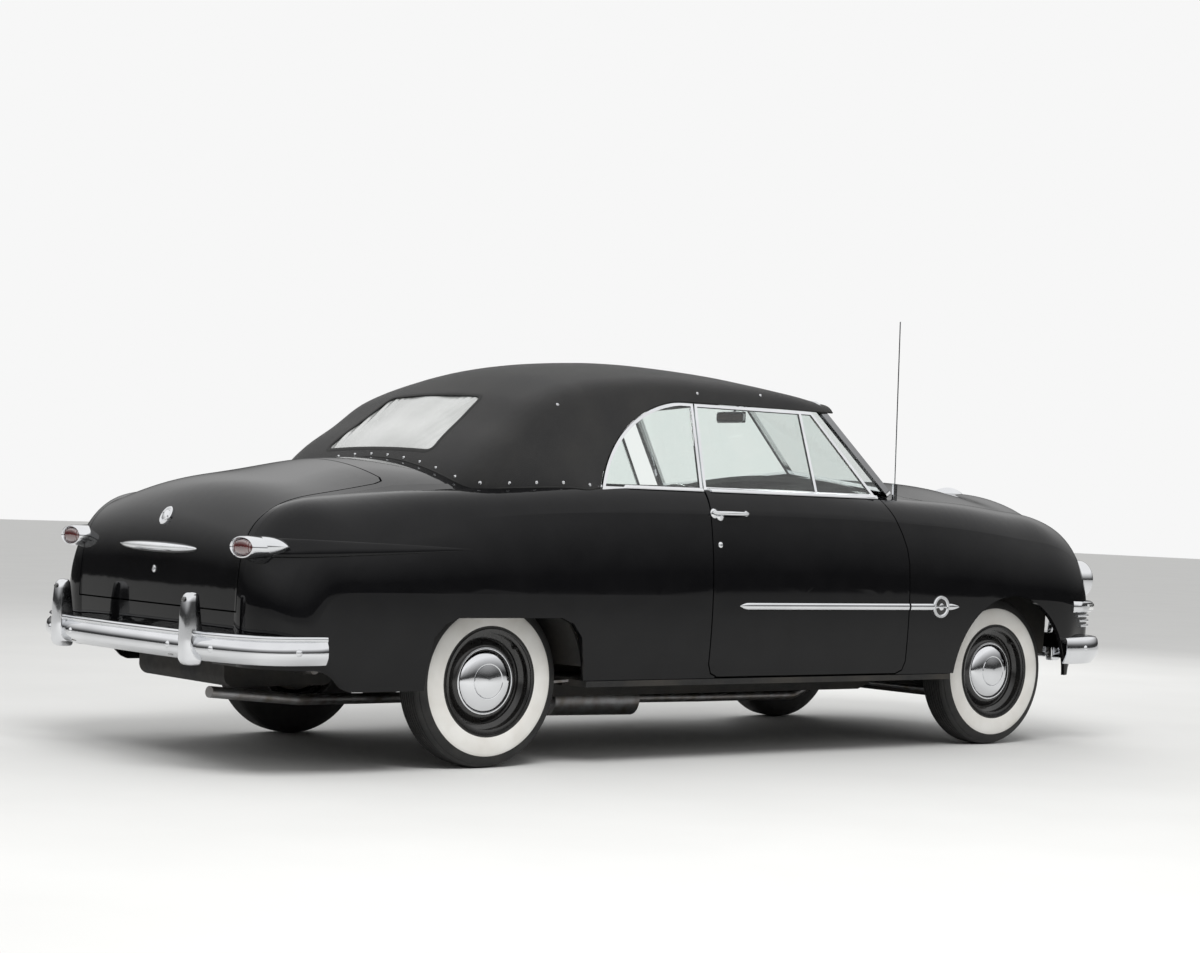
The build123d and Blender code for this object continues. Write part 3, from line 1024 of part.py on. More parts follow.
ANTENNA_Y = across(-790)
antenna_foot = top_of_body(ANTENNA_X, -ANTENNA_Y)
ANTENNA_TOP_Z = 1920
ANTENNA_FOOT_RADIUS = 12
ANTENNA_RADIUS = 2.5
antenna = tube((ANTENNA_X, ANTENNA_Y, antenna_foot - 8), (ANTENNA_X, ANTENNA_Y, 1190), ANTENNA_FOOT_RADIUS)
antenna = antenna - clear_of_body
antenna = antenna + tube((ANTENNA_X, ANTENNA_Y, 1180), (ANTENNA_X, ANTENNA_Y, ANTENNA_TOP_Z), ANTENNA_RADIUS)
mirror_glass = Pos(along(655), 0, 1480) * fillet(Box(16, 190, 52).edges(), 6)
mirror_stem = tube((along(662), 0, 1495), (along(722), 0, 1566), 5)
rear_view_mirror = (mirror_glass + mirror_stem) - shield_frame

save("front_fender_left", fender)
save("front_fender_right", mirrored(fender))
save("quarter_panel_left", quarter)
save("quarter_panel_right", mirrored(quarter))
save("deck_panel", largest(deck))
save("cowl", cowl)
save("front_panel", front_panel)
save("hood", hood_shell)
save("trunk_lid", lid_shell)
save("door_left", door_left)
save("door_right", mirrored(door_left))
save("door_hinges", door_hinges + [mirrored(h) for h in door_hinges])
save("lid_hinges", lid_hinges)
save("door_window_left", [door_frame, door_panes])
save("door_window_right", [mirrored(door_frame), mirrored(door_panes)])
save("quarter_windows", both(quarter_frame) + both(quarter_pane))
save("windshield_frame", shield_frame)
save("windshield_glass", both(shield_glass))
save("folding_top", largest(top_shell))
save("rear_window", window_sheet)
save("top_bows", bow_frame)
save("floor_pan", floor_pan)
save("chassis_frame", frame)
save("front_suspension", both(suspension))
save("knuckle_left", knuckle)
save("knuckle_right", mirrored(knuckle))
save("tie_rod", tie_rod)
save("rear_axle", axle)
save("leaf_springs", both(leaf_spring))
save("propeller_shaft", shaft)
save("engine", engine)
save("radiator", radiator)
save("fuel_tank", tank)
save("exhaust", exhaust)
save("front_seat", front_bench)
save("rear_seat", rear_bench)
save("dashboard", dash)
save("steering_column", column)
save("steering_wheel", steering_wheel)
save("front_bumper", front_bumper)
save("rear_bumper", rear_bumper)
save("headlights", both(headlight))
save("tail_lights", both(tail_light))
save("grille", grille)
save("antenna", antenna)
save("rear_view_mirror", rear_view_mirror)
for name, x in (("front", FRONT_AXLE_X), ("rear", REAR_AXLE_X)):
    for hand, side in (("left", 1), ("right", -1)):
        place = Pos(x, side * WHEEL_Y, HUB_Z)
        save(f"tyre_{name}_{hand}", place * tyre)
        save(f"wheel_{name}_{hand}", place * (wheel if side > 0 else mirrored(wheel)))
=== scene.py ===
import bmesh
import bpy
import math
import numpy as np
from mathutils import Matrix, Vector, noise
from mathutils.bvhtree import BVHTree


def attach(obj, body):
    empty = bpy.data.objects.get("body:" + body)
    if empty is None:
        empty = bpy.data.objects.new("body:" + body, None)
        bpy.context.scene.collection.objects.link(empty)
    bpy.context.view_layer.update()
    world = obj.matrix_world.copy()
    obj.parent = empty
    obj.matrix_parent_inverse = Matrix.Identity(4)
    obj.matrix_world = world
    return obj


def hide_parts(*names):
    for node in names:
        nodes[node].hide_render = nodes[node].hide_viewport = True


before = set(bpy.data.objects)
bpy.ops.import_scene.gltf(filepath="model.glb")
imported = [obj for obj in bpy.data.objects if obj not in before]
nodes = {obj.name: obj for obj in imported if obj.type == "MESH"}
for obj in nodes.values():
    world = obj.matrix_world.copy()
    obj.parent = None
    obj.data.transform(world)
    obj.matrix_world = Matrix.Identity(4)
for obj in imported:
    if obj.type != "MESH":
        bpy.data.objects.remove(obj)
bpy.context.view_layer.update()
scene = bpy.context.scene

# Looks for a two-door convertible. X is forward, Y is the car's left, Z is up, in metres.
REAR_AXLE_X = -1.250
FRONT_AXLE_X = 1.646
WHEEL_Y = 0.711
HUB_Z = 0.341
DOOR_REAR_X = -0.220
DOOR_FRONT_X = 0.937
BODY = "body"
HANDS = (("left", 1), ("right", -1))
FORWARD = Vector((1, 0, 0))
UP = Vector((0, 0, 1))
DOWN = -UP
WELD_GRID = 20000


# Meshes

def piece(name, geometry, made, body=BODY, sharp=40):
    """A visible piece from (vertices, faces), in the row frame."""
    mesh = bpy.data.meshes.new(name)
    mesh.from_pydata([tuple(v) for v in geometry[0]], [], geometry[1])
    mesh.validate()
    obj = bpy.data.objects.new(name, mesh)
    scene.collection.objects.link(obj)
    return settle(obj, made, body, sharp)


def settle(obj, made, body=BODY, sharp=40):
    """Gives an object its material, smooth shading with sharp edges, and body."""
    obj.data.materials.clear()
    obj.data.materials.append(made)
    obj.data.shade_smooth()
    obj.data.set_sharp_from_angle(angle=math.radians(sharp))
    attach(obj, body)
    return obj


def join(*geometries):
    """Several (vertices, faces) as one."""
    vertices, faces = [], []
    for part_vertices, part_faces in geometries:
        first = len(vertices)
        vertices += list(part_vertices)
        faces += [tuple(i + first for i in face) for face in part_faces]
    return vertices, faces


def both(geometry):
    """A piece with its twin on the car's other side."""
    vertices, faces = geometry
    return join(geometry, ([Vector((v[0], -v[1], v[2])) for v in vertices],
                           [tuple(reversed(f)) for f in faces]))


def loft(rings, closed=True, caps=True):
    """Skin over rings of points with equal counts."""
    count = len(rings[0])
    vertices = [Vector(p) for ring in rings for p in ring]
    faces = []
    for i in range(len(rings) - 1):
        for j in range(count if closed else count - 1):
            k = (j + 1) % count
            faces.append((i * count + j, i * count + k, (i + 1) * count + k, (i + 1) * count + j))
    if caps and closed:
        faces.append(tuple(range(count - 1, -1, -1)))
        faces.append(tuple((len(rings) - 1) * count + j for j in range(count)))
    return vertices, faces


def turns(count):
    """Angles evenly spaced round a circle."""
    return [2 * math.pi * i / count for i in range(count)]


def signed(value, power):
    """A power that keeps the sign."""
    return math.copysign(abs(value) ** power, value)


def squared(count, power, sine_power=None):
    """(Cosine, sine) pairs round a ring with squarer corners than a circle."""
    return [(signed(math.cos(a), power), signed(math.sin(a), sine_power or power)) for a in turns(count)]


def lathe(profile, centre, way, steps=64, caps=None):
    """Skin turned about the line through centre along way. The profile is (distance along, radius)."""
    if caps is None:
        caps = min(profile[0][1], profile[-1][1]) < 1e-6
    way = Vector(way).normalized()
    side = way.orthogonal().normalized()
    other = way.cross(side)
    return loft([[Vector(centre) + way * along + (side * math.cos(a) + other * math.sin(a)) * radius
                  for a in turns(steps)] for along, radius in profile], caps=caps)


def smooth_line(points, count):
    """Points evenly spaced on a smooth curve through the given ones."""
    points = np.array([tuple(p) for p in points], float)
    steps = np.r_[0, np.cumsum(np.linalg.norm(np.diff(points, axis=0), axis=1) ** 0.5)]
    padded = np.vstack([2 * points[0] - points[1], points, 2 * points[-1] - points[-2]])
    knots = np.r_[-steps[1], steps, 2 * steps[-1] - steps[-2]]
    fine = []
    for i in range(1, len(padded) - 2):
        k = knots[i - 1:i + 3]
        p = padded[i - 1:i + 3]
        for t in np.linspace(k[1], k[2], 24, endpoint=False):
            a = [((k[j + 1] - t) * p[j] + (t - k[j]) * p[j + 1]) / (k[j + 1] - k[j]) for j in range(3)]
            b = [((k[j + 2] - t) * a[j] + (t - k[j]) * a[j + 1]) / (k[j + 2] - k[j]) for j in range(2)]
            fine.append(((k[2] - t) * b[0] + (t - k[1]) * b[1]) / (k[2] - k[1]))
    fine.append(points[-1])
    return resample(fine, count)


def resample(points, count):
    """Points evenly spaced along a polyline."""
    points = np.array([tuple(p) for p in points], float)
    steps = np.r_[0, np.cumsum(np.linalg.norm(np.diff(points, axis=0), axis=1))]
    places = np.linspace(0, steps[-1], count)
    return [Vector(p) for p in np.column_stack([np.interp(places, steps, points[:, k]) for k in range(3)])]


def tangent(points, i):
    return (points[min(i + 1, len(points) - 1)] - points[max(i - 1, 0)]).normalized()


def each(value, line):
    """A value for each point of a line, from one number or a list."""
    return value if hasattr(value, "__len__") else [value] * len(line)


def round_bar(points, radius, steps=12):
    """A round bar along points. The radius is one number or one for each point."""
    radii = each(radius, points)
    side = tangent(points, 0).orthogonal().normalized()
    rings = []
    for i, point in enumerate(points):
        way = tangent(points, i)
        side = (side - way * side.dot(way)).normalized()
        other = way.cross(side)
        rings.append([point + (side * math.cos(a) + other * math.sin(a)) * radii[i] for a in turns(steps)])
    return loft(rings)


def strip(line, normals, width, height, crown=5, sink=0.0015):
    """A crowned strip that lies on a surface. Width and height may vary along it."""
    widths, heights = each(width, line), each(height, line)
    rings = []
    for i, point in enumerate(line):
        way = tangent(line, i)
        normal = (normals[i] - way * normals[i].dot(way)).normalized()
        half = way.cross(normal) * (widths[i] / 2)
        arc = [math.pi * j / (crown + 1) for j in range(crown + 2)]
        rings.append([point + half * math.cos(a) + normal * (math.sin(a) ** 0.7 * heights[i]) for a in arc]
                     + [point - half - normal * sink, point + half - normal * sink])
    return loft(rings)


def tree_of(*names):
    """A search tree over CAD nodes or other objects, to seat pieces on."""
    vertices, faces = [], []
    for name in names:
        mesh = (nodes[name] if name in nodes else bpy.data.objects[name]).data
        first = len(vertices)
        vertices += [v.co.copy() for v in mesh.vertices]
        faces += [tuple(i + first for i in p.vertices) for p in mesh.polygons]
    return BVHTree.FromPolygons(vertices, faces)


def seat(tree, origin, way):
    """Where a ray first meets the tree, and the surface's normal there, facing the ray."""
    way = Vector(way).normalized()
    place, normal, _, _ = tree.ray_cast(Vector(origin), way)
    if place is None:
        place, normal, _, _ = tree.find_nearest(Vector(origin) + way)
    return place, -normal if normal.dot(way) > 0 else normal


def blended(normals, passes=3):
    """Normals along a line, evened out so that a strip doesn't twist."""
    for _ in range(passes):
        normals = [(normals[max(i - 1, 0)] + normals[i] + normals[min(i + 1, len(normals) - 1)]).normalized()
                   for i in range(len(normals))]
    return normals


def tape(found, width, height):
    """A strip along (place, normal) pairs."""
    return strip([p for p, _ in found], blended([n for _, n in found]), width, height)


def seated_line(tree, points, way, count):
    """A smooth line laid on a surface, with its normals."""
    found = [seat(tree, p, way) for p in smooth_line(points, count)]
    return [p for p, _ in found], blended([n for _, n in found])


def cad_parts(name):
    """The separate solids of a CAD node as (vertices, faces), joined over their face borders."""
    mesh = nodes[name].data
    places, index = {}, []
    for v in mesh.vertices:
        key = tuple(round(c * WELD_GRID) for c in v.co)
        index.append(places.setdefault(key, len(places)))
    points = [None] * len(places)
    for v, i in zip(mesh.vertices, index):
        points[i] = v.co.copy()
    parent = list(range(len(points)))

    def root(a):
        while parent[a] != a:
            parent[a] = parent[parent[a]]
            a = parent[a]
        return a
    faces = []
    for p in mesh.polygons:
        face = []
        for i in p.vertices:
            if index[i] not in face:
                face.append(index[i])
        if len(face) > 2:
            faces.append(face)
            for i in face[1:]:
                parent[root(i)] = root(face[0])
    groups = {}
    for face in faces:
        groups.setdefault(root(face[0]), []).append(face)
    parts = []
    for group in groups.values():
        used = sorted({i for face in group for i in face})
        place = {old: new for new, old in enumerate(used)}
        parts.append(([points[i] for i in used], [tuple(place[i] for i in face) for face in group]))
    return parts


def modified(obj, *kinds):
    """Applies modifiers, given as (type, settings), and keeps the result as the object's mesh."""
    for kind, settings in kinds:
        modifier = obj.modifiers.new(kind.title(), kind)
        for key, value in settings.items():
            setattr(modifier, key, value)
    graph = bpy.context.evaluated_depsgraph_get()
    mesh = bpy.data.meshes.new_from_object(obj.evaluated_get(graph))
    obj.modifiers.clear()
    obj.data = mesh
    return obj


# Materials

def node(tree, kind, **inputs):
    """A new shader node with some of its inputs set."""
    made = tree.nodes.new("ShaderNode" + kind)
    for name, value in inputs.items():
        made.inputs[name.replace("_", " ")].default_value = value
    return made


def link(tree, *pairs):
    for start, end in pairs:
        tree.links.new(start, end)


def texture(tree, places, kind, output, direction=None, **inputs):
    """A texture over those places, as one of its outputs."""
    made = node(tree, kind, **inputs)
    if direction:
        made.bands_direction = direction
    link(tree, (places, made.inputs["Vector"]))
    return made.outputs[output]


def largest(tree, first, *others):
    """The largest of several factors."""
    for other in others:
        larger = node(tree, "Math")
        larger.operation = "MAXIMUM"
        link(tree, (first, larger.inputs[0]), (other, larger.inputs[1]))
        first = larger.outputs[0]
    return first


def material(name, slot, colour, tint, rough, rough_range, tint_scale=8, rough_scale=40, bump=None,
             **settings):
    """A shader whose colour and roughness vary by noise. The bump is (maker, strength, distance)."""
    made = bpy.data.materials.new(name)
    made.use_nodes = True
    tree = made.node_tree
    shader = tree.nodes["Principled BSDF"]
    places = node(tree, "TexCoord").outputs["Object"]
    mix = node(tree, "Mix")
    mix.data_type = "RGBA"
    mix.inputs[6].default_value = (*colour, 1)
    mix.inputs[7].default_value = (*tint, 1)
    spread = node(tree, "MapRange", From_Min=0.35, From_Max=0.7)
    rough_map = node(tree, "MapRange", To_Min=max(0.0, rough - rough_range), To_Max=rough + rough_range)
    link(tree,
         (texture(tree, places, "TexNoise", "Fac", Scale=tint_scale, Detail=4), spread.inputs["Value"]),
         (spread.outputs["Result"], mix.inputs[0]),
         (mix.outputs[2], shader.inputs["Base Color"]),
         (texture(tree, places, "TexNoise", "Fac", Scale=rough_scale, Detail=3), rough_map.inputs["Value"]),
         (rough_map.outputs["Result"], shader.inputs["Roughness"]))
    for key, value in settings.items():
        shader.inputs[key.replace("_", " ")].default_value = value
    if bump:
        maker, strength, distance = bump
        relief = node(tree, "Bump", Strength=strength, Distance=distance)
        link(tree, (maker(tree, places), relief.inputs["Height"]),
             (relief.outputs["Normal"], shader.inputs["Normal"]))
    return made


def noise_bump(scale, detail=2):
    return lambda tree, places: texture(tree, places, "TexNoise", "Fac", Scale=scale, Detail=detail)


def pebble_bump(scale):
    return lambda tree, places: texture(tree, places, "TexVoronoi", "Distance", Scale=scale)


def weave_bump(threads):
    """Threads along and across the car, as many as that in a metre."""
    return lambda tree, places: largest(tree, *[
        texture(tree, places, "TexWave", "Fac", way, Scale=threads / 3, Distortion=1.2, Detail=1)
        for way in "XY"])


PAINT = material("gloss_black_paint", "body_paint", (0.0035, 0.0035, 0.004), (0.005, 0.005, 0.0055), 0.2,
                 0.05, rough_scale=14, Coat_Weight=1.0, Coat_Roughness=0.05, Coat_IOR=1.33,
                 Specular_IOR_Level=0.0)
CHROME = material("chrome_plate", "chrome", (0.80, 0.81, 0.83), (0.72, 0.73, 0.75), 0.08, 0.04, tint_scale=5,
                  rough_scale=30, Metallic=1.0)
DULL_CHROME = material("brushed_trim", "chrome", (0.55, 0.56, 0.57), (0.45, 0.45, 0.46), 0.3, 0.08,
                       Metallic=1.0)
STEEL = material("bare_steel", "steel", (0.36, 0.36, 0.37), (0.22, 0.20, 0.18), 0.42, 0.12, tint_scale=18,
                 Metallic=1.0, bump=(noise_bump(300), 0.15, 0.0005))
IRON = material("cast_iron", "cast_iron", (0.055, 0.054, 0.052), (0.085, 0.07, 0.055), 0.7, 0.15,
                tint_scale=14, bump=(noise_bump(420, 4), 0.4, 0.0008), Metallic=0.3)
ENGINE_PAINT = material("engine_paint", None, (0.03, 0.045, 0.05), (0.05, 0.05, 0.045), 0.45, 0.12,
                        tint_scale=12, bump=(noise_bump(300, 3), 0.3, 0.0006))
UNDERCOAT = material("underbody_coating", "frame_paint", (0.014, 0.014, 0.014), (0.035, 0.031, 0.026), 0.75,
                     0.12, tint_scale=6, bump=(noise_bump(160, 5), 0.5, 0.0015))
CLOTH = material("black_top_canvas", "cloth", (0.010, 0.010, 0.0105), (0.016, 0.0155, 0.015), 0.88, 0.06,
                 tint_scale=5, bump=(weave_bump(520), 0.45, 0.0006), Sheen_Weight=0.12, Sheen_Roughness=0.5)
BINDING = material("top_binding_tape", "cloth", (0.008, 0.008, 0.008), (0.013, 0.013, 0.012), 0.7, 0.08,
                   tint_scale=20, bump=(noise_bump(900, 2), 0.35, 0.0004))
VINYL_WINDOW = material("clear_vinyl", "vinyl_window", (0.60, 0.61, 0.60), (0.42, 0.43, 0.42), 0.2, 0.08,
                        tint_scale=3, rough_scale=6, bump=(noise_bump(7, 2), 0.35, 0.012),
                        Transmission_Weight=0.3, IOR=1.45, Coat_Weight=0.6, Coat_Roughness=0.08)
GLASS = material("window_glass", "clear_glass", (0.90, 0.94, 0.92), (0.88, 0.93, 0.91), 0.0, 0.004,
                 Transmission_Weight=1.0, IOR=1.45)
SEAT_VINYL = material("seat_vinyl", "seat_vinyl", (0.16, 0.145, 0.125), (0.125, 0.112, 0.096), 0.5, 0.08,
                      tint_scale=7, bump=(pebble_bump(520), 0.3, 0.0006))
SEAT_CLOTH = material("seat_inserts", "seat_vinyl", (0.27, 0.25, 0.215), (0.21, 0.195, 0.165), 0.85, 0.05,
                      tint_scale=9, bump=(weave_bump(420), 0.5, 0.0008), Sheen_Weight=0.2)
CARPET = material("floor_carpet", "cloth", (0.05, 0.048, 0.044), (0.075, 0.07, 0.062), 0.95, 0.03,
                  tint_scale=60, bump=(noise_bump(700, 4), 0.8, 0.003), Sheen_Weight=0.3)
PLASTIC = material("dark_plastic", "dark_plastic", (0.012, 0.012, 0.012), (0.018, 0.017, 0.016), 0.28, 0.06,
                   tint_scale=10, bump=(noise_bump(500), 0.06, 0.0003), Coat_Weight=0.4)
RUBBER = material("black_rubber", "tyre", (0.013, 0.013, 0.013), (0.024, 0.023, 0.022), 0.72, 0.1,
                  tint_scale=16, bump=(noise_bump(380, 3), 0.25, 0.0006))
WHITEWALL = material("white_rubber", "tyre", (0.74, 0.73, 0.70), (0.64, 0.62, 0.58), 0.55, 0.08, tint_scale=9,
                     bump=(noise_bump(260, 2), 0.12, 0.0004))
WHEEL_PAINT = material("wheel_paint", "wheel_paint", (0.006, 0.006, 0.006), (0.012, 0.011, 0.010), 0.28, 0.06,
                       tint_scale=16, Coat_Weight=0.6, Coat_Roughness=0.08)
LENS = material("clear_lens", "light_lens", (0.92, 0.92, 0.90), (0.88, 0.88, 0.86), 0.04, 0.03,
                Transmission_Weight=0.9, IOR=1.5)
RED_LENS = material("dark_lens", "light_lens", (0.10, 0.006, 0.006), (0.055, 0.004, 0.004), 0.1, 0.04,
                    tint_scale=30, bump=(noise_bump(240), 0.1, 0.0006), Transmission_Weight=0.25, IOR=1.5)
REFLECTOR = material("lamp_reflector", "mirror", (0.82, 0.83, 0.84), (0.74, 0.75, 0.76), 0.14, 0.05,
                     Metallic=1.0)
MIRROR = material("mirror_face", "mirror", (0.86, 0.87, 0.88), (0.84, 0.85, 0.86), 0.02, 0.01, Metallic=1.0)
WOOD = material("bow_wood", None, (0.20, 0.13, 0.075), (0.13, 0.08, 0.045), 0.6, 0.08, tint_scale=25,
                bump=(noise_bump(120, 4), 0.2, 0.0006))


def repaint(material_made, *names):
    """Gives CAD nodes a better material."""
    for name in names:
        slots = nodes[name].data.materials
        slots.clear()
        slots.append(material_made)


# Camera
camera_data = bpy.data.cameras.new("Camera")
camera_data.sensor_width = 36
camera_data.lens = 72.21
camera_data.clip_end = 200
camera = bpy.data.objects.new("Camera", camera_data)
scene.collection.objects.link(camera)
scene.camera = camera
camera.location = (-6.787, -8.441, 1.042)
YAW, PITCH, ROLL = (math.radians(a) for a in (38.337, 0.715, 2.084))
ahead = Vector((math.sin(YAW) * math.cos(PITCH), math.cos(YAW) * math.cos(PITCH), math.sin(PITCH)))
level = Vector((math.cos(YAW), -math.sin(YAW), 0))
right = level * math.cos(ROLL) + level.cross(ahead) * math.sin(ROLL)
camera.matrix_world = Matrix.Translation(camera.location) @ Matrix(
    (right, right.cross(ahead), -ahead)).transposed().to_4x4()


def seen_by(tree, *rays):
    """A factor that is 1 for rays of those kinds and 0 for others."""
    path = node(tree, "LightPath")
    return largest(tree, *[path.outputs[f"Is {ray} Ray"] for ray in rays])


# World: plain and pale behind the car, dark low down and bright above in reflections
world = bpy.data.worlds.new("Studio")
scene.world = world
world.use_nodes = True
sky_tree = world.node_tree
sky = sky_tree.nodes["Background"]
sky_height = node(sky_tree, "SeparateXYZ")
sky_ramp = node(sky_tree, "ValToRGB")
for element, (place, grey) in zip(sky_ramp.color_ramp.elements, ((0.06, 0.045), (0.42, 1.0))):
    element.position = place
    element.color = (grey, grey, grey, 1)
sky_mix = node(sky_tree, "Mix")
sky_mix.data_type = "RGBA"
sky_mix.inputs[7].default_value = (0.93, 0.93, 0.93, 1)
sky_strength = node(sky_tree, "MapRange", To_Min=0.9, To_Max=1.0)
link(sky_tree,
     (node(sky_tree, "TexCoord").outputs["Generated"], sky_height.inputs[0]),
     (sky_height.outputs["Z"], sky_ramp.inputs[0]),
     (sky_ramp.outputs[0], sky_mix.inputs[6]),
     (seen_by(sky_tree, "Camera", "Transmission"), sky_mix.inputs[0]),
     (sky_mix.outputs[2], sky.inputs["Color"]),
     (seen_by(sky_tree, "Camera", "Glossy", "Transmission"), sky_strength.inputs["Value"]),
     (sky_strength.outputs["Result"], sky.inputs["Strength"]))
scene.view_settings.view_transform = "Standard"

FLOOR = material("studio_floor", None, (0.62, 0.62, 0.61), (0.60, 0.60, 0.59), 0.8, 0.05, tint_scale=1.2,
                 bump=(noise_bump(180, 4), 0.15, 0.002))
floor = bpy.data.objects.new("floor", bpy.data.meshes.new("floor"))
floor.data.from_pydata([(-60, -60, 0), (60, -60, 0), (60, 60, 0), (-60, 60, 0)], [], [(0, 1, 2, 3)])
floor.data.materials.append(FLOOR)
scene.collection.objects.link(floor)


def soft_light(name, place, aim, size, power):
    data = bpy.data.lights.new(name, "AREA")
    data.shape = "RECTANGLE"
    data.size, data.size_y = size
    data.energy = power
    lamp = bpy.data.objects.new(name, data)
    scene.collection.objects.link(lamp)
    lamp.location = place
    lamp.visible_glossy = False
    lamp.rotation_mode = "QUATERNION"
    lamp.rotation_quaternion = (Vector(aim) - Vector(place)).to_track_quat("-Z", "Y")


soft_light("key", (-3.5, -5.0, 7.5), (0, 0, 0.5), (5.0, 3.0), 620)
soft_light("fill", (6.0, 5.0, 5.0), (0, 0, 0.7), (5.0, 4.0), 240)

# Looks of the CAD nodes that show
repaint(PAINT, "front_fender_left", "front_fender_right", "quarter_panel_left", "quarter_panel_right",
        "deck_panel", "cowl", "front_panel", "hood", "trunk_lid", "door_left", "door_right")
repaint(STEEL, "door_hinges", "lid_hinges", "tie_rod", "propeller_shaft", "exhaust", "leaf_springs")
repaint(UNDERCOAT, "floor_pan", "chassis_frame", "fuel_tank", "radiator")
repaint(IRON, "front_suspension", "knuckle_left", "knuckle_right", "rear_axle")
repaint(ENGINE_PAINT, "engine")
repaint(WOOD, "top_bows")
repaint(GLASS, "windshield_glass")
repaint(CHROME, "windshield_frame", "antenna")
repaint(PLASTIC, "steering_column", "dashboard", "rear_view_mirror")


def is_frame(vertices, faces):
    """Whether a solid has a hole in it. The faces of a pane, front and back, make up twice its outline."""
    mesh = bpy.data.meshes.new("probe")
    mesh.from_pydata(vertices, [], faces)
    area = sum(p.area for p in mesh.polygons)
    bpy.data.meshes.remove(mesh)
    length, height = (max(v[k] for v in vertices) - min(v[k] for v in vertices) for k in (0, 2))
    return area < 1.25 * length * height


def window_pieces(name, body):
    """Chrome frames and clear panes from the solids of a window node."""
    frames, panes = [], []
    for solid in sorted(cad_parts(name), key=lambda part: -len(part[0])):
        (frames if is_frame(*solid) else panes).append(solid)
    frame_piece = piece(name + "_frame", join(*frames), CHROME, body, 30)
    piece(name + "_glass", join(*panes), GLASS, body, 30)
    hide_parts(name)


for hand, _ in HANDS:
    window_pieces("door_window_" + hand, hand + "_door")
window_pieces("quarter_windows", BODY)

# Folding top: one continuous sheet over the same sections as the solid
TOP_ROWS = [
    # X, Z and lean in degrees of the base; half width of the base; half width and height
    # of the side and of the shoulder; height of the crown
    (0.650, 1.100, 0, 0.828, 0.690, 0.384, 0.612, 0.432, 0.470),
    (0.420, 1.100, 0, 0.828, 0.686, 0.410, 0.600, 0.468, 0.522),
    (0.100, 1.100, 0, 0.828, 0.684, 0.430, 0.590, 0.494, 0.560),
    (-0.350, 1.100, 0, 0.828, 0.684, 0.432, 0.585, 0.498, 0.566),
    (-0.760, 1.100, 0, 0.828, 0.692, 0.372, 0.575, 0.448, 0.512),
    (-0.800, 1.098, -25, 0.832, 0.708, 0.338, 0.565, 0.412, 0.452),
    (-0.825, 1.090, -47, 0.832, 0.735, 0.325, 0.565, 0.402, 0.440),
    (-0.840, 1.078, -66, 0.826, 0.762, 0.350, 0.590, 0.452, 0.486),
    (-0.850, 1.062, -80, 0.816, 0.772, 0.395, 0.620, 0.500, 0.536),
    (-0.855, 1.040, -93, 0.800, 0.765, 0.420, 0.630, 0.520, 0.548),
]
GLASS_TOP_Z = 1.490
QUARTER_TOP_X = -0.250
QUARTER_REAR_X = -0.752
WINDOW_END_X = QUARTER_REAR_X - 0.012
TOP_GAP = 0.007
DECK_Z = 1.095
body_tree = tree_of("quarter_panel_left", "quarter_panel_right", "deck_panel")


def top_half(row):
    """The section of the top on the left, from the base up to the middle, as 3-D points."""
    x, z, lean, base_y, side_y, side_z, shoulder_y, shoulder_z, crown_z = row
    rise = crown_z - shoulder_z
    slope = 2 * rise / shoulder_y
    wall = (side_y - base_y) / side_z
    corner_z = max(shoulder_z - slope * (side_y + wall * (shoulder_z - side_z) - shoulder_y), side_z)
    corner_y = side_y + wall * (corner_z - side_z)
    flat = [(base_y + (side_y - base_y) * t, side_z * t) for t in np.linspace(0, 1, 26)]
    for t in np.linspace(0, 1, 14)[1:]:
        flat.append(((1 - t) ** 2 * side_y + 2 * t * (1 - t) * corner_y + t * t * shoulder_y,
                     (1 - t) ** 2 * side_z + 2 * t * (1 - t) * corner_z + t * t * shoulder_z))
    for t in np.linspace(0, 1, 26)[1:]:
        y = shoulder_y * (1 - t)
        flat.append((y, crown_z - rise * (y / shoulder_y) ** 2))
    lean = math.radians(lean)
    return [Vector((x + r * math.sin(lean), y, z + r * math.cos(lean))) for y, r in flat]


def arc_through(a, b, c):
    """Points of the circle through three flat points, by growing x."""
    (ax, az), (bx, bz), (cx, cz) = a, b, c
    da, db, dc = ax * ax + az * az, bx * bx + bz * bz, cx * cx + cz * cz
    d = 2 * (ax * (bz - cz) + bx * (cz - az) + cx * (az - bz))
    ux = (da * (bz - cz) + db * (cz - az) + dc * (az - bz)) / d
    uz = (da * (cx - bx) + db * (ax - cx) + dc * (bx - ax)) / d
    radius = math.hypot(ax - ux, az - uz)
    start, middle, end = (math.atan2(z - uz, x - ux) for x, z in (a, b, c))
    while middle < start:
        middle += 2 * math.pi
    while end < middle:
        end += 2 * math.pi
    return sorted((ux + radius * math.cos(t), uz + radius * math.sin(t)) for t in np.linspace(start, end, 24))


QUARTER_EDGE = tuple(zip(*arc_through((QUARTER_TOP_X, GLASS_TOP_Z + TOP_GAP), (-0.597, 1.349),
                                      (QUARTER_REAR_X - 0.010, 1.110))))


def window_edge(x):
    """Height at which the cloth ends over the side windows."""
    if x >= QUARTER_TOP_X:
        return GLASS_TOP_Z + TOP_GAP
    return float(np.interp(x, *QUARTER_EDGE)) if x > WINDOW_END_X else 0.0


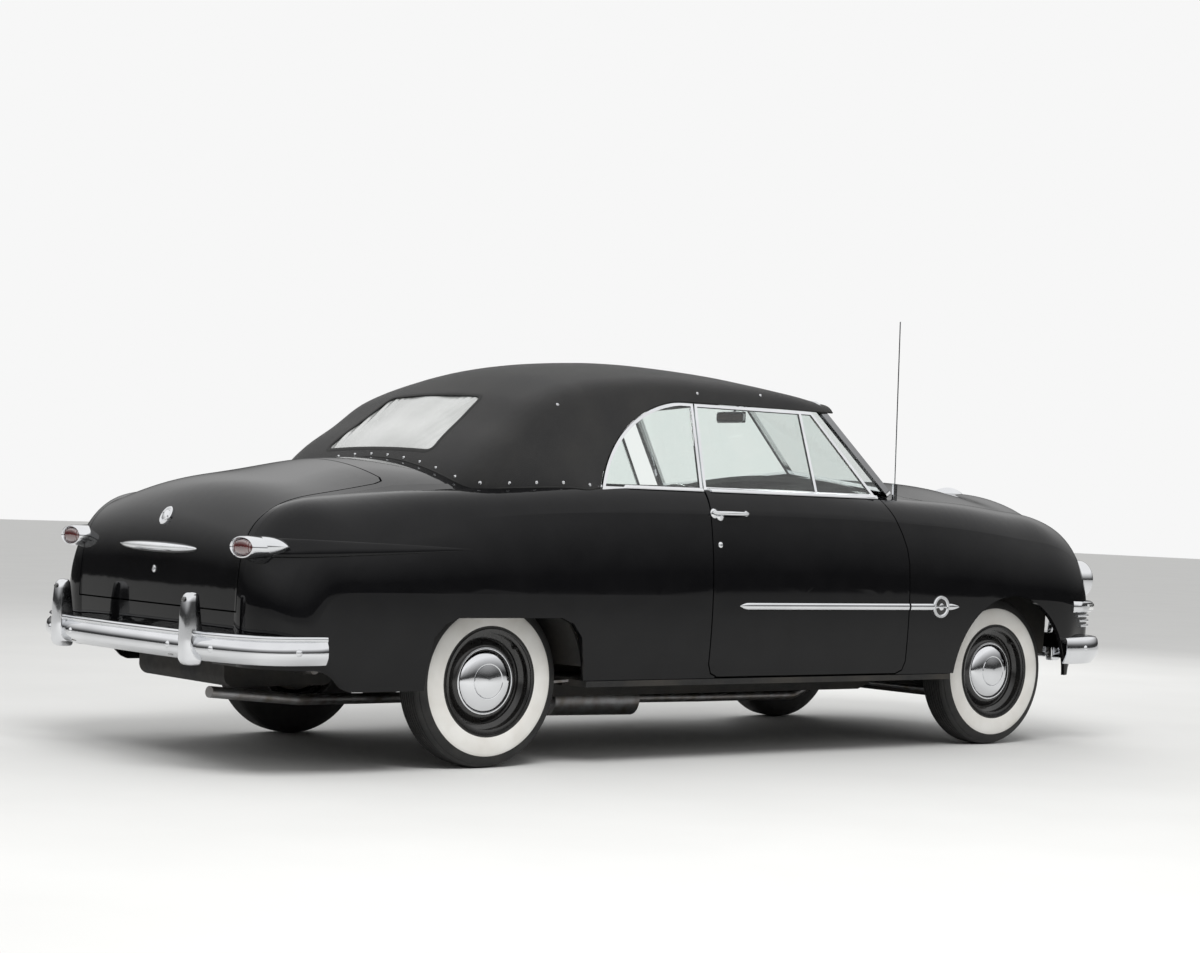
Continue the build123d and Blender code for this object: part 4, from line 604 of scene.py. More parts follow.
def smooth_rows(halves, between):
    """Rows between the given ones, smooth along the car."""
    rows = []
    last = len(halves) - 1
    for i in range(last):
        for t in (k / between for k in range(between)):
            row = []
            for column in zip(*halves):
                p0, p1, p2, p3 = column[max(i - 1, 0)], column[i], column[i + 1], column[min(i + 2, last)]
                d = (p2 - p1).length
                m1 = (p2 - p0) * (d / max((p2 - p0).length, 1e-6)) if i > 0 else p2 - p1
                m2 = (p3 - p1) * (d / max((p3 - p1).length, 1e-6)) if i < last - 1 else p2 - p1
                row.append(p1 * (2 * t ** 3 - 3 * t ** 2 + 1) + m1 * (t ** 3 - 2 * t ** 2 + t)
                           + p2 * (-2 * t ** 3 + 3 * t ** 2) + m2 * (t ** 3 - t ** 2))
            rows.append(row)
    return rows + [list(halves[-1])]


def clear_of_windows(half):
    """A row without what would hang in front of the side windows."""
    edge = window_edge(half[0].x)
    kept = [half[-1]]
    for point in reversed(half[:-1]):
        if point.z < edge:
            share = (kept[-1].z - edge) / max(kept[-1].z - point.z, 1e-6)
            kept.append(kept[-1].lerp(point, min(max(share, 0), 1)))
            break
        kept.append(point)
    return resample(list(reversed(kept)), 50)


def above_body(point):
    """Height of a point over the body's top surface."""
    place, _, _, _ = body_tree.ray_cast(Vector((point.x, point.y, 1.9)), DOWN)
    if place is None or place.z < 0.9:
        return 0.2 if point.z > DECK_Z else -0.2
    return point.z - place.z


def mirrored(half):
    """The points of the other half, from the middle out."""
    return [Vector((p.x, -p.y, p.z)) for p in reversed(half)]


top_rows = []
for half in smooth_rows([top_half(row) for row in TOP_ROWS], 12):
    over_windows = min(half[0].x, half[-1].x) > WINDOW_END_X
    top_rows.append(clear_of_windows(half) if over_windows else resample(half, 50))
for row in top_rows:
    for point in row:
        point.z += noise.noise(point * 3.1) * 0.0022 + noise.noise(point * 9.0) * 0.0007
top_grid = [row + mirrored(row[:-1]) for row in top_rows]
heights = [[above_body(p) for p in row] for row in top_grid]
top_vertices, top_faces = loft(top_grid, closed=False)
flat_heights = [h for row in heights for h in row]
top_faces = [face for face in top_faces if max(flat_heights[i] for i in face) > -0.003]
used = sorted({i for face in top_faces for i in face})
renumbered = {old: new for new, old in enumerate(used)}
top_geometry = ([top_vertices[i] for i in used], [tuple(renumbered[i] for i in face) for face in top_faces])
CLOTH_THICK = 0.003
top_sheet = piece("top_cloth", top_geometry, CLOTH, sharp=60)
cloth_tree = tree_of("top_cloth")


def crossings():
    """Where the left half of the cloth meets the body, from beside the rear side windows to the middle."""
    found = []
    for i, row in enumerate(top_rows):
        for j, point in enumerate(row):
            here = heights[i][j]
            for a, b in ((i, j + 1), (i + 1, j)):
                if a == len(top_rows) or b == len(row) or point.x >= QUARTER_REAR_X:
                    continue
                there = heights[a][b]
                if (here > 0) != (there > 0) and max(abs(here), abs(there)) < 0.15:
                    found.append(point.lerp(top_rows[a][b], here / (here - there)))
    found.sort(key=lambda p: math.atan2(-(p.x + 0.80), p.y))
    return found


base_half = crossings()
for _ in range(4):
    base_half = [base_half[0]] + [(base_half[i - 1] + base_half[i] + base_half[i + 1]) / 3
                                  for i in range(1, len(base_half) - 1)] + [base_half[-1]]
base_full = resample(base_half + mirrored(base_half), 150)

# Rear window: the hole in the cloth, the creased sheet and the tape round it
WINDOW_LOW = Vector((-1.300, 0, 1.242))
WINDOW_HIGH = Vector((-1.008, 0, 1.478))
WINDOW_LOW_HALF = 0.400
WINDOW_HIGH_HALF = 0.338
WINDOW_CORNER = 0.05
window_up = (WINDOW_HIGH - WINDOW_LOW).normalized()
window_out = Vector((0, -1, 0)).cross(window_up)
window_length = (WINDOW_HIGH - WINDOW_LOW).length


def window_outline(grow):
    """The rear window's rounded outline as (across, up) pairs."""
    corners = [Vector(p) for p in (
        (-WINDOW_LOW_HALF - grow, -grow), (WINDOW_LOW_HALF + grow, -grow),
        (WINDOW_HIGH_HALF + grow, window_length + grow), (-WINDOW_HIGH_HALF - grow, window_length + grow))]
    outline = []
    for i, point in enumerate(corners):
        following = corners[(i + 1) % 4]
        before = (corners[i - 1] - point).normalized() * WINDOW_CORNER
        after = (following - point).normalized() * WINDOW_CORNER
        outline += [point + before * (1 - t) ** 2 + after * t ** 2 for t in np.linspace(0, 1, 10)]
        outline += [(point + after).lerp(following - after, t) for t in np.linspace(0, 1, 14)[1:-1]]
    return outline


def window_point(across, up):
    return WINDOW_LOW + Vector((0, across, 0)) + window_up * up


def on_cloth(point):
    """The cloth's outside under a point of the window plane."""
    return seat(cloth_tree, point + window_out * 0.4, -window_out)


window_loop = [on_cloth(window_point(a, u)) for a, u in window_outline(0.004)]
cutter = bpy.data.objects.new("cutter", bpy.data.meshes.new("cutter"))
cutter_points, cutter_faces = loft([[window_point(a, u) + window_out * lift for a, u in window_outline(0.0)]
                                    for lift in (-0.15, 0.25)])
cutter.data.from_pydata(cutter_points, [], cutter_faces)
scene.collection.objects.link(cutter)
cutter_form = bmesh.new()
cutter_form.from_mesh(cutter.data)
bmesh.ops.recalc_face_normals(cutter_form, faces=cutter_form.faces)
cutter_form.to_mesh(cutter.data)
cutter_form.free()
modified(top_sheet, ("SOLIDIFY", {"thickness": CLOTH_THICK, "offset": -1, "use_even_offset": True}))
modified(top_sheet, ("BOOLEAN", {"object": cutter, "operation": "DIFFERENCE", "solver": "EXACT"}))
bpy.data.objects.remove(cutter)
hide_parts("folding_top")
settle(top_sheet, CLOTH, BODY, 60)


def window_skin():
    """The clear sheet with the soft creases of rolled vinyl, running up from its lower corners."""
    rows = []
    for u in np.linspace(-0.012, window_length + 0.012, 34):
        half = np.interp(u, (0, window_length), (WINDOW_LOW_HALF, WINDOW_HIGH_HALF)) + 0.012
        row = []
        for a in np.linspace(-half, half, 60):
            place, normal = on_cloth(window_point(a, u))
            along = abs(a) / half
            crease = 0.0035 * math.sin(46 * (along - 0.45 * u / window_length) + 2) * along ** 3
            crease += 0.002 * math.sin(23 * a + 4 * u) + 0.003 * noise.noise(Vector((a * 5, u * 3, 4)))
            row.append(place + normal * (crease - 0.0045))
        rows.append(row)
    return loft(rows, closed=False)


clear_sheet = piece("rear_window_sheet", window_skin(), VINYL_WINDOW, sharp=60)
modified(clear_sheet, ("SOLIDIFY", {"thickness": 0.0012, "offset": 0}), ("SUBSURF", {"levels": 1}))
settle(clear_sheet, VINYL_WINDOW, BODY, 60)
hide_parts("rear_window")

# Sewn tapes, seams and snaps on the cloth
closed_loop = window_loop + window_loop[:2]
tape_normals = blended([n for _, n in closed_loop])
piece("rear_window_tape", strip([p + n * 0.001 for (p, _), n in zip(closed_loop, tape_normals)], tape_normals,
                                0.024, 0.0035), BINDING)


def outward_on_cloth(point):
    """The nearest place on the cloth and the normal away from the cabin."""
    place, normal, _, _ = cloth_tree.find_nearest(Vector(point))
    away = place - Vector((place.x * 0.8, 0, 1.15))
    return place, normal if normal.dot(away) > 0 else -normal


def cloth_strip(name, hints, count, width, height):
    """A strip sewn on the cloth along a smooth line near the hinted points."""
    piece(name, tape([outward_on_cloth(p) for p in smooth_line(hints, count)], width, height), BINDING)


bow_hints = [Vector(p) for p in ((-0.905, 0.655, 1.42), (-0.885, 0.58, 1.487), (-0.865, 0.48, 1.523),
                                 (-0.85, 0.25, 1.555), (-0.845, 0, 1.565))]
cloth_strip("seam_rear_bow", bow_hints + mirrored(bow_hints[:-1]), 80, 0.016, 0.0028)
SEAMS = (("seam_roof_", 70, 0.014, 0.0025, ((-0.862, 0.48, 1.523), (-0.55, 0.484, 1.60), (-0.1, 0.49, 1.62),
                                            (0.3, 0.50, 1.60), (0.63, 0.515, 1.55))),
         ("seam_corner_", 44, 0.014, 0.0025, ((-0.866, 0.49, 1.52), (-1.02, 0.515, 1.41), (-1.18, 0.54, 1.29),
                                              (-1.33, 0.56, 1.165))),
         ("seam_window_", 40, 0.010, 0.0016, ((-0.99, 0.385, 1.49), (-1.16, 0.42, 1.355),
                                              (-1.335, 0.455, 1.20))),)
for hand, side in HANDS:
    for name, count, width, height, hints in SEAMS:
        cloth_strip(name + hand, [(x, side * y, z) for x, y, z in hints], count, width, height)

# Hem over the side windows, and the tape and snaps along the body
hem_line = [row[0] for row in top_rows if row[0].x > QUARTER_REAR_X - 0.006]
for hand, side in HANDS:
    line = [Vector((p.x, p.y * side, p.z)) for p in hem_line]
    piece("hem_" + hand, round_bar(resample(line, 90), 0.0042, 10), BINDING)
piece("base_piping", round_bar(base_full, 0.005, 10), BINDING)
base_line = [outward_on_cloth(p + UP * 0.020) for p in base_full]
base_normals = blended([n for _, n in base_line], 6)
base_places = [p for p, _ in base_line]
piece("base_tape", strip(base_places, base_normals, 0.034, 0.003), BINDING)


def snap(place, normal):
    """A domed snap fastener."""
    return lathe([(0.002, 0.0065), (0.0035, 0.0065), (0.0045, 0.00468), (0.006, 0.00429), (0.0078, 0.0026),
                  (0.0084, 0.0)], place, normal, 16)


lengths = np.r_[0, np.cumsum([(b - a).length for a, b in zip(base_places, base_places[1:])])]
snaps = []
for wanted in np.linspace(0.06, lengths[-1] - 0.06, 21):
    i = int(np.searchsorted(lengths, wanted))
    snaps.append(snap(base_places[i], base_normals[i]))
for x, y, z in ((-0.145, 0.66, 1.527), (0.225, 0.655, 1.535), (-0.885, 0.66, 1.424)):
    snaps += [snap(*outward_on_cloth((x, y * side, z))) for _, side in HANDS]
piece("snaps", join(*snaps), CHROME)


# Chrome along the belt, the side spears, the creases and the door handles
SPEAR_Z = 0.6475
HANDLE_Z = 1.033
DOOR_EDGE_GAP = 0.0055
SPEAR_REAR_X = -0.069
SPEAR_FRONT_X = 1.262
OUTSIDE_Y = 1.2
LINE_COUNT = 60
BELT_PROFILE = ((-0.004, 0), (0.007, 0.001), (0.0075, 0.005), (0.00068, 0.0135), (-0.00376, 0.016),
                (-0.010, 0.016), (-0.016, 0.004))
SPEAR_RING = [(0.0, 0.052), (0.006, 0.052), (0.0112, 0.048), (0.0112, 0.039), (0.007, 0.035), (0.005, 0.033),
              (0.0, 0.033), (0.0, 0.052)]
SPEAR_DISC = [(0.002, 0.034), (0.0075, 0.034), (0.0078, 0.028), (0.008, 0.0)]
SPEAR_DOME = [(0.006, 0.016), (0.0085, 0.0155), (0.0100, 0.012), (0.0110, 0.006), (0.0112, 0.0)]
HANDLE_ROUTE = ((-0.216, -0.002), (-0.206, 0.021), (-0.170, 0.030), (-0.110, 0.033), (-0.050, 0.030),
                (-0.030, 0.018), (-0.026, -0.002))
HANDLE_COVER = [(0.0, 0.021), (0.004, 0.021), (0.008, 0.018), (0.012, 0.013), (0.012, 0.0)]
HANDLE_BUTTON = [(0.010, 0.009), (0.018, 0.009), (0.021, 0.006), (0.022, 0.0)]
HANDLE_FOOT = [(0, 0.012), (0.004, 0.012), (0.007, 0.008), (0.008, 0)]
DOOR_LOCK = [(0, 0.0125), (0.003, 0.0125), (0.006, 0.009), (0.0075, 0.0045), (0.007, 0.0)]


def beside(tree, side, x, z):
    """The place and normal on a side panel at that length and height."""
    return seat(tree, (x, side * OUTSIDE_Y, z), (0, -side, 0))


def side_line(tree, side, points):
    """A smooth line through (x, z) points, laid on a side panel, with its normals."""
    return seated_line(tree, [(x, side * OUTSIDE_Y, z) for x, z in points], (0, -side, 0), LINE_COUNT)


def belt(name, tree, side, x0, x1, body):
    """A flat chrome moulding under the windows."""
    rings = []
    for x in np.linspace(x0, x1, max(8, int(abs(x1 - x0) / 0.03))):
        place, _ = beside(tree, side, x, 1.1215)
        rings.append([Vector((place.x, place.y + side * a, 1.1195 + b)) for a, b in BELT_PROFILE])
    piece(name, loft(rings), CHROME, body, 35)


def spear(name, tree, side, x0, x1, body, tip, length):
    """A crowned bar that narrows to a point at its tip."""
    line, normals = side_line(tree, side, [(x, SPEAR_Z) for x in np.linspace(x0, x1, 12)])
    taper = [max(min(abs(p.x - tip) / length, 1), 0.02) ** 0.6 for p in line]
    piece(name, strip(line, normals, [0.029 * t for t in taper], [0.0082 * t for t in taper], 7), CHROME,
          body, 35)


for hand, side in HANDS:
    door = hand + "_door"
    door_tree = tree_of("door_" + hand)
    fender_tree = tree_of("front_fender_" + hand)
    quarter_tree = tree_of("quarter_panel_" + hand)
    belt("belt_door_" + hand, door_tree, side, DOOR_REAR_X + DOOR_EDGE_GAP, 0.822, door)
    belt("belt_quarter_" + hand, quarter_tree, side, -0.80, DOOR_REAR_X - DOOR_EDGE_GAP, BODY)
    spear("spear_door_" + hand, door_tree, side, SPEAR_REAR_X, DOOR_FRONT_X - DOOR_EDGE_GAP, door,
          SPEAR_REAR_X, 0.035)
    spear("spear_fender_" + hand, fender_tree, side, DOOR_FRONT_X + DOOR_EDGE_GAP, SPEAR_FRONT_X, BODY,
          SPEAR_FRONT_X, 0.055)
    place, normal = beside(fender_tree, side, 1.137, SPEAR_Z)
    piece("spear_ring_" + hand, lathe(SPEAR_RING, place, normal, 48), CHROME)
    piece("spear_disc_" + hand, lathe(SPEAR_DISC, place, normal, 48), PLASTIC)
    piece("spear_dome_" + hand, lathe(SPEAR_DOME, place, normal, 40), CHROME)

    # Crease that runs forward from the tail light along the quarter panel
    line, normals = side_line(quarter_tree, side, ((-2.235, 0.848), (-2.05, 0.851), (-1.75, 0.855),
                                                   (-1.433, 0.859)))
    ahead_share = [1 - i / (LINE_COUNT - 1) for i in range(LINE_COUNT)]
    spread = [max(0.004, 0.078 * t ** 0.8) for t in ahead_share]
    rise = [max(0.0004, 0.015 * t ** 1.1) for t in ahead_share]
    piece("crease_" + hand, strip(line, normals, spread, rise, 9, 0.004), PAINT, BODY, 60)

    # Door handle with its button, and the lock below
    grip = smooth_line([beside(door_tree, side, x, HANDLE_Z)[0] + Vector((0, side * out, 0))
                        for x, out in HANDLE_ROUTE], 40)
    thick = [0.0095 - 0.0025 * abs(i / 39 - 0.45) for i in range(40)]
    button_place = beside(door_tree, side, -0.172, 1.021)
    piece("door_handle_" + hand, join(
        round_bar(grip, thick, 16), lathe(HANDLE_COVER, *beside(door_tree, side, -0.203, 1.030), 28),
        lathe(HANDLE_COVER, *button_place, 28), lathe(HANDLE_BUTTON, *button_place, 24),
        lathe(HANDLE_FOOT, beside(door_tree, side, -0.027, HANDLE_Z)[0],
              beside(door_tree, side, -0.120, HANDLE_Z)[1], 20)), CHROME, door, 35)
    piece("door_lock_" + hand, lathe(DOOR_LOCK, *beside(door_tree, side, -0.180, 0.901), 28), CHROME, door,
          35)


# Rear of the car: lid handle, medallion, lock, tail lights
lid_tree = tree_of("trunk_lid")
LID_HANDLE_Z = 0.826


def on_lid(y, z):
    return seat(lid_tree, (-4, y, z), FORWARD)


boat_rings = []
for t in np.linspace(-1, 1, 41):
    place, _ = on_lid(0.31 * t, LID_HANDLE_Z)
    swell = max(1 - abs(t) ** 2.4, 0.004) ** 0.6
    out, rise, drop = 0.048 * swell, 0.020 * swell, 0.024 * swell
    boat_rings.append([place + Vector((-math.sin(a) ** 0.8 * out + 0.004, 0,
                                       math.cos(a) * (rise if a < math.pi / 2 else drop)))
                       for a in np.linspace(0, math.pi, 14)])
piece("lid_handle", loft(boat_rings), CHROME, "rear_lid", 50)
groove = [on_lid(0.27 * t, LID_HANDLE_Z)[0] + Vector((-0.046 * max(1 - abs(0.87 * t) ** 2.4, 0.01) ** 0.6, 0,
                                                      0.002)) for t in np.linspace(-1, 1, 31)]
piece("lid_handle_ridge", strip(groove, [Vector((-1, 0, 0.1))] * 31, 0.005, 0.003), CHROME, "rear_lid")
boss = [(-0.003, 0.040), (0.005, 0.040), (0.008, 0.037), (0.008, 0.032), (0.005, 0.030), (0.005, 0.024),
        (0.010, 0.021), (0.013, 0.012), (0.014, 0.0)]
piece("lid_medallion", lathe(boss, *on_lid(0.0, 0.945), 56), CHROME, "rear_lid", 30)
lid_lock = [(0, 0.014), (0.003, 0.014), (0.006, 0.010), (0.006, 0.004), (0.004, 0.0)]
piece("lid_lock", lathe(lid_lock, *on_lid(0.0, 0.737), 28), CHROME, "rear_lid")

# Tail lights, as ovals of X, half width, half height and shift outward
LAMP_Y = 0.700
LAMP_Z = 0.846
LAMP_HOUSING = ((-2.205, 0.100, 0.040, 0.010), (-2.262, 0.098, 0.043, 0.006), (-2.300, 0.093, 0.043, 0),
                (-2.322, 0.089, 0.042, 0), (-2.330, 0.086, 0.040, 0), (-2.332, 0.082, 0.036, 0),
                (-2.328, 0.078, 0.033, 0), (-2.318, 0.076, 0.031, 0))
LAMP_LENS = ((-2.310, 0.077, 0.032, 0), (-2.322, 0.075, 0.030, 0), (-2.328, 0.066, 0.026, 0),
             (-2.3315, 0.045, 0.018, 0), (-2.332, 0.010, 0.004, 0))
RIB_GAP = 0.017


def oval(side, x, half_y, half_z, shift):
    return [Vector((x, side * (LAMP_Y + shift) + half_y * math.cos(a), LAMP_Z + half_z * math.sin(a)))
            for a in turns(56)]


for hand, side in HANDS:
    jet = []
    for t in np.linspace(0, 1, 22):
        y = side * (LAMP_Y + 0.152 * t)
        a, b = 0.062 * (1 - t ** 2.2) + 0.006, 0.041 * (1 - t ** 2.6) + 0.0015
        jet.append([Vector((-2.252 + 0.028 * t + a * math.cos(c), y, 0.847 + 0.006 * t + b * math.sin(c)))
                    for c in turns(32)])
    piece("tail_light_bezel_" + hand, join(loft([oval(side, *row) for row in LAMP_HOUSING], caps=False),
                                           loft(jet)), CHROME, BODY, 45)
    piece("tail_light_lens_" + hand, loft([oval(side, *row) for row in LAMP_LENS]), RED_LENS, BODY, 45)
    ribs = []
    for k in range(-3, 4):
        high = 0.027 * math.sqrt(max(1 - (RIB_GAP * k / 0.072) ** 2, 0))
        y = side * LAMP_Y + RIB_GAP * k
        ribs.append(round_bar([Vector((-2.3305 + 0.004 * u * u, y, LAMP_Z + high * u))
                               for u in np.linspace(-1, 1, 9)], 0.0016, 8))
    piece("tail_light_ribs_" + hand, join(*ribs), RED_LENS, BODY, 45)
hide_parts("tail_lights")


# Bumpers
def rounded(points, reach, per_corner=14):
    """A polyline whose corners are rounded, starting that far from each."""
    points = [Vector(p) for p in points]
    line = [points[0]]
    for here, ends in zip(points[1:], zip(points, points[2:])):
        before, after = (here + (end - here).normalized() * min(reach, (end - here).length * 0.49)
                         for end in ends)
        line += [before * (1 - t) ** 2 + here * (2 * t * (1 - t)) + after * t ** 2
                 for t in np.linspace(0, 1, per_corner)]
    return line + [points[-1]]


def outward_at(line, i):
    """The level direction away from the car at a point of a bumper's line."""
    out = tangent(line, i).cross(UP)
    return -out if out.dot(Vector((line[i].x, line[i].y * 0.3, 0))) < 0 else out


def bumper(name, route, profile):
    """A bumper face of (outward, height) points swept round the end of the car."""
    corners = [(x, y, 0) for x, y in route] + [(x, -y, 0) for x, y in reversed(route[:-1])]
    line = resample(rounded(corners, 0.24), 150)
    middle = sum(b for _, b in profile) / len(profile)
    rings = []
    for i, point in enumerate(line):
        end = min(1, min(i, len(line) - 1 - i) / 7)
        ease = 0.6 + 0.4 * math.sqrt(1 - (1 - end) ** 2)
        out = outward_at(line, i)
        rings.append([point + out * (a * ease) + UP * (middle + (b - middle) * (0.9 + 0.1 * ease))
                      for a, b in profile])
    return piece(name, loft(rings), CHROME, BODY, 50), line


REAR_PROFILE = [(-0.030, 0.524), (-0.012, 0.530), (0.000, 0.528), (0.005, 0.522), (0.004, 0.514),
                (-0.001, 0.508), (0.003, 0.502), (0.011, 0.494), (0.0155, 0.478), (0.016, 0.462),
                (0.014, 0.448), (0.008, 0.442), (-0.006, 0.428), (-0.016, 0.421), (-0.022, 0.424),
                (-0.010, 0.436), (0.003, 0.448), (0.008, 0.462), (0.008, 0.478), (0.003, 0.490),
                (-0.006, 0.500), (-0.008, 0.514), (-0.012, 0.522), (-0.030, 0.518)]
REAR_ROUTE = [(-2.078, 0.9175), (-2.335, 0.893), (-2.440, 0.570), (-2.459, 0.0)]
rear_bar, rear_line = bumper("rear_bumper_bar", REAR_ROUTE, REAR_PROFILE)
FRONT_PROFILE = [(-0.034, 0.500), (-0.014, 0.505), (0.000, 0.503), (0.009, 0.492), (0.014, 0.470),
                 (0.0158, 0.445), (0.014, 0.425), (0.006, 0.412), (-0.006, 0.396), (-0.018, 0.380),
                 (-0.026, 0.376), (-0.032, 0.380), (-0.020, 0.392), (-0.006, 0.410), (0.004, 0.424),
                 (0.008, 0.445), (0.006, 0.470), (0.001, 0.486), (-0.008, 0.496), (-0.034, 0.494)]
FRONT_ROUTE = [(2.012, 0.905), (2.340, 0.868), (2.440, 0.520), (2.459, 0.0)]
front_bar, front_line = bumper("front_bumper_bar", FRONT_ROUTE, FRONT_PROFILE)


def guards(y, wide, sections):
    """Two upright guards from rings of (height, outer end, inner end, share of the half width)."""
    return join(*[loft([[Vector(((outer + inner) / 2 + c * abs(outer - inner) / 2,
                                 side * y + s * share * wide, z)) for c, s in squared(28, 0.55)]
                        for z, outer, inner, share in sections]) for _, side in HANDS])


REAR_GUARD = [(0.402, -2.450, -2.400, 0.80), (0.408, -2.462, -2.394, 0.94), (0.425, -2.472, -2.390, 1.0),
              (0.500, -2.474, -2.392, 1.0), (0.580, -2.473, -2.402, 0.94), (0.635, -2.468, -2.410, 0.88),
              (0.658, -2.461, -2.414, 0.84), (0.667, -2.452, -2.418, 0.72), (0.671, -2.444, -2.424, 0.50)]
FRONT_GUARD = [(0.362, 2.452, 2.402, 0.8), (0.368, 2.464, 2.398, 0.94), (0.385, 2.472, 2.394, 1.0),
               (0.450, 2.474, 2.396, 1.0), (0.520, 2.472, 2.404, 0.94), (0.565, 2.465, 2.412, 0.86),
               (0.582, 2.456, 2.416, 0.72), (0.588, 2.446, 2.424, 0.5)]
REAR_GUARD_Y = 0.531
piece("rear_guards", guards(REAR_GUARD_Y, 0.036, REAR_GUARD), CHROME, BODY, 50)
piece("front_guards", guards(0.462, 0.026, FRONT_GUARD), CHROME, BODY, 50)
# Dark plastic ovals on the rear guards' faces: painted shade standing in for recesses, which are not modelled
# as hollows
guard_shade_ovals = [loft([[Vector((x + 0.010 * max(math.sin(a), 0), side * REAR_GUARD_Y + half * 1.1 * math.cos(a),
                           0.645 + half * 0.9 * math.sin(a))) for a in turns(20)]
                  for x, half in ((-2.468, 0.012), (-2.4715, 0.011), (-2.4725, 0.008))]) for _, side in HANDS]
piece("rear_guard_painted_shade", join(*guard_shade_ovals), PLASTIC)


def bumper_bolts(line, places, height):
    bolts = []
    for x, y in places:
        for _, side in HANDS:
            i = min(range(len(line)), key=lambda k: abs(line[k].y - side * y) + abs(line[k].x - x))
            out = outward_at(line, i)
            bolts.append(lathe([(0, 0.014), (0.003, 0.0135), (0.007, 0.010), (0.0095, 0.005), (0.010, 0)],
                               line[i] + out * 0.0125 + UP * height, out, 22))
    return join(*bolts)


piece("rear_bumper_bolts", bumper_bolts(rear_line, ((-2.445, 0.41), (-2.42, 0.66), (-2.20, 0.905)), 0.470),
      CHROME)
piece("front_bumper_bolts", bumper_bolts(front_line, ((2.445, 0.34), (2.40, 0.64), (2.15, 0.89)), 0.452),
      CHROME)
BLOCK_EDGE = 0.003


def block(x0, x1, y0, y1, z0, z1):
    """A box with small chamfers."""
    e = BLOCK_EDGE
    rings = []
    for x, inset in ((x0, e), (x0 + e, 0), (x1 - e, 0), (x1, e)):
        a, b, c, d = y0 + inset, y1 - inset, z0 + inset, z1 - inset
        rings.append([Vector((x, y, z)) for y, z in (
            (a + e, c), (b - e, c), (b, c + e), (b, d - e), (b - e, d), (a + e, d), (a, d - e), (a, c + e))])
    return loft(rings)


piece("rear_brackets", both(block(-2.446, -2.2803, 0.380, 0.420, 0.430, 0.470)), STEEL)
piece("front_brackets", both(block(2.2703, 2.446, 0.380, 0.420, 0.380, 0.398)), STEEL)
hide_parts("rear_bumper")
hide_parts("front_bumper")


# Wheels: tyre with ribbed tread and a white band, black rim and disc, domed cap
tread = []
for y in (0.044, 0.030, 0.015, 0.0, -0.015, -0.030, -0.044):
    top = 0.3402 - 0.9 * y * y
    tread += [(y + 0.0022, top), (y + 0.0012, top - 0.006), (y - 0.0012, top - 0.006), (y - 0.0022, top)]
wall = [(0.062, 0.192), (0.072, 0.199), (0.0765, 0.207), (0.079, 0.222), (0.0805, 0.244), (0.0808, 0.262),
        (0.0795, 0.281), (0.0765, 0.299), (0.0715, 0.314), (0.0675, 0.320), (0.0665, 0.3225),
        (0.0635, 0.3225), (0.0625, 0.326), (0.0595, 0.3315), (0.052, 0.3365)]
tyre_profile = wall + tread + [(-y, r) for y, r in reversed(wall)]
band = [(0.0755, 0.2115), (0.0768, 0.212), (0.0795, 0.223), (0.0811, 0.244), (0.0816, 0.262), (0.0803, 0.281),
        (0.0782, 0.292), (0.0772, 0.2935), (0.0765, 0.2935)]
rim_profile = [(0.0805, 0.203), (0.0808, 0.2065), (0.0785, 0.2075), (0.0762, 0.2055), (0.0755, 0.198),
               (0.0730, 0.1905), (0.047, 0.1885), (0.040, 0.175), (0.036, 0.170), (0.026, 0.169),
               (0.0235, 0.166), (0.028, 0.160), (0.0395, 0.150), (0.0455, 0.142), (0.047, 0.134),
               (0.0445, 0.126), (0.040, 0.120), (0.038, 0.05)]
inner_rim = [(-0.0765, 0.205), (-0.0805, 0.206), (-0.0808, 0.202), (-0.073, 0.188), (-0.045, 0.187),
             (-0.040, 0.168), (0.018, 0.167), (0.026, 0.1685)]
cap_profile = [(0.040, 0.1295), (0.044, 0.1328), (0.0475, 0.1318), (0.0485, 0.1280), (0.0480, 0.1255),
               (0.0520, 0.1235), (0.0585, 0.1140), (0.0650, 0.0985), (0.0695, 0.0800), (0.0712, 0.0700),
               (0.0702, 0.0685), (0.0702, 0.0665), (0.0722, 0.0650), (0.0750, 0.0480), (0.0772, 0.0280),
               (0.0784, 0.0120), (0.0787, 0.0)]
drum_profile = [(-0.030, 0.150), (0.010, 0.150), (0.012, 0.120), (0.014, 0.0)]
valve_profile = [(0, 0.0045), (0.018, 0.0045), (0.019, 0.0036), (0.026, 0.0036), (0.0275, 0.0)]
for end, x in (("front", FRONT_AXLE_X), ("rear", REAR_AXLE_X)):
    for hand, side in HANDS:
        centre = Vector((x, side * WHEEL_Y, HUB_Z))
        way = Vector((0, side, 0))
        body = f"{hand}_{end}_wheel"
        name = f"{end}_{hand}"
        tyre = piece("tyre_body_" + name, lathe(tyre_profile, centre, way, 128), RUBBER, body)
        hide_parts("tyre_" + name)
        piece("white_band_" + name, lathe(band, centre, way, 128), WHITEWALL, body)
        rim = piece("rim_" + name, join(lathe(rim_profile, centre, way, 96),
                                        lathe(inner_rim, centre, way, 96)), WHEEL_PAINT, body)
        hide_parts("wheel_" + name)
        piece("hub_cap_" + name, lathe(cap_profile, centre, way, 96), CHROME, body)
        stem = centre + Vector((0.128, side * 0.050, 0.128))
        piece("valve_" + name, lathe(valve_profile, stem, way, 14), RUBBER, body)
        piece("brake_drum_" + name, lathe(drum_profile, centre, way, 48), IRON, body)


# Headlights and parking lights
def flat_way(way):
    """A direction without its height."""
    return Vector((way.x, way.y, 0)).normalized()


def nose_line(side, z, angles):
    """Places and normals round the front corner at a height."""
    tree = tree_of("front_fender_left" if side > 0 else "front_fender_right", "front_panel")
    places, normals = [], []
    for angle in np.radians(angles):
        way = Vector((math.cos(angle), side * math.sin(angle), 0))
        place, normal = seat(tree, Vector((2.02, side * 0.50, z)) + way, -way)
        places.append(place)
        normals.append(normal)
    return places, blended(normals)


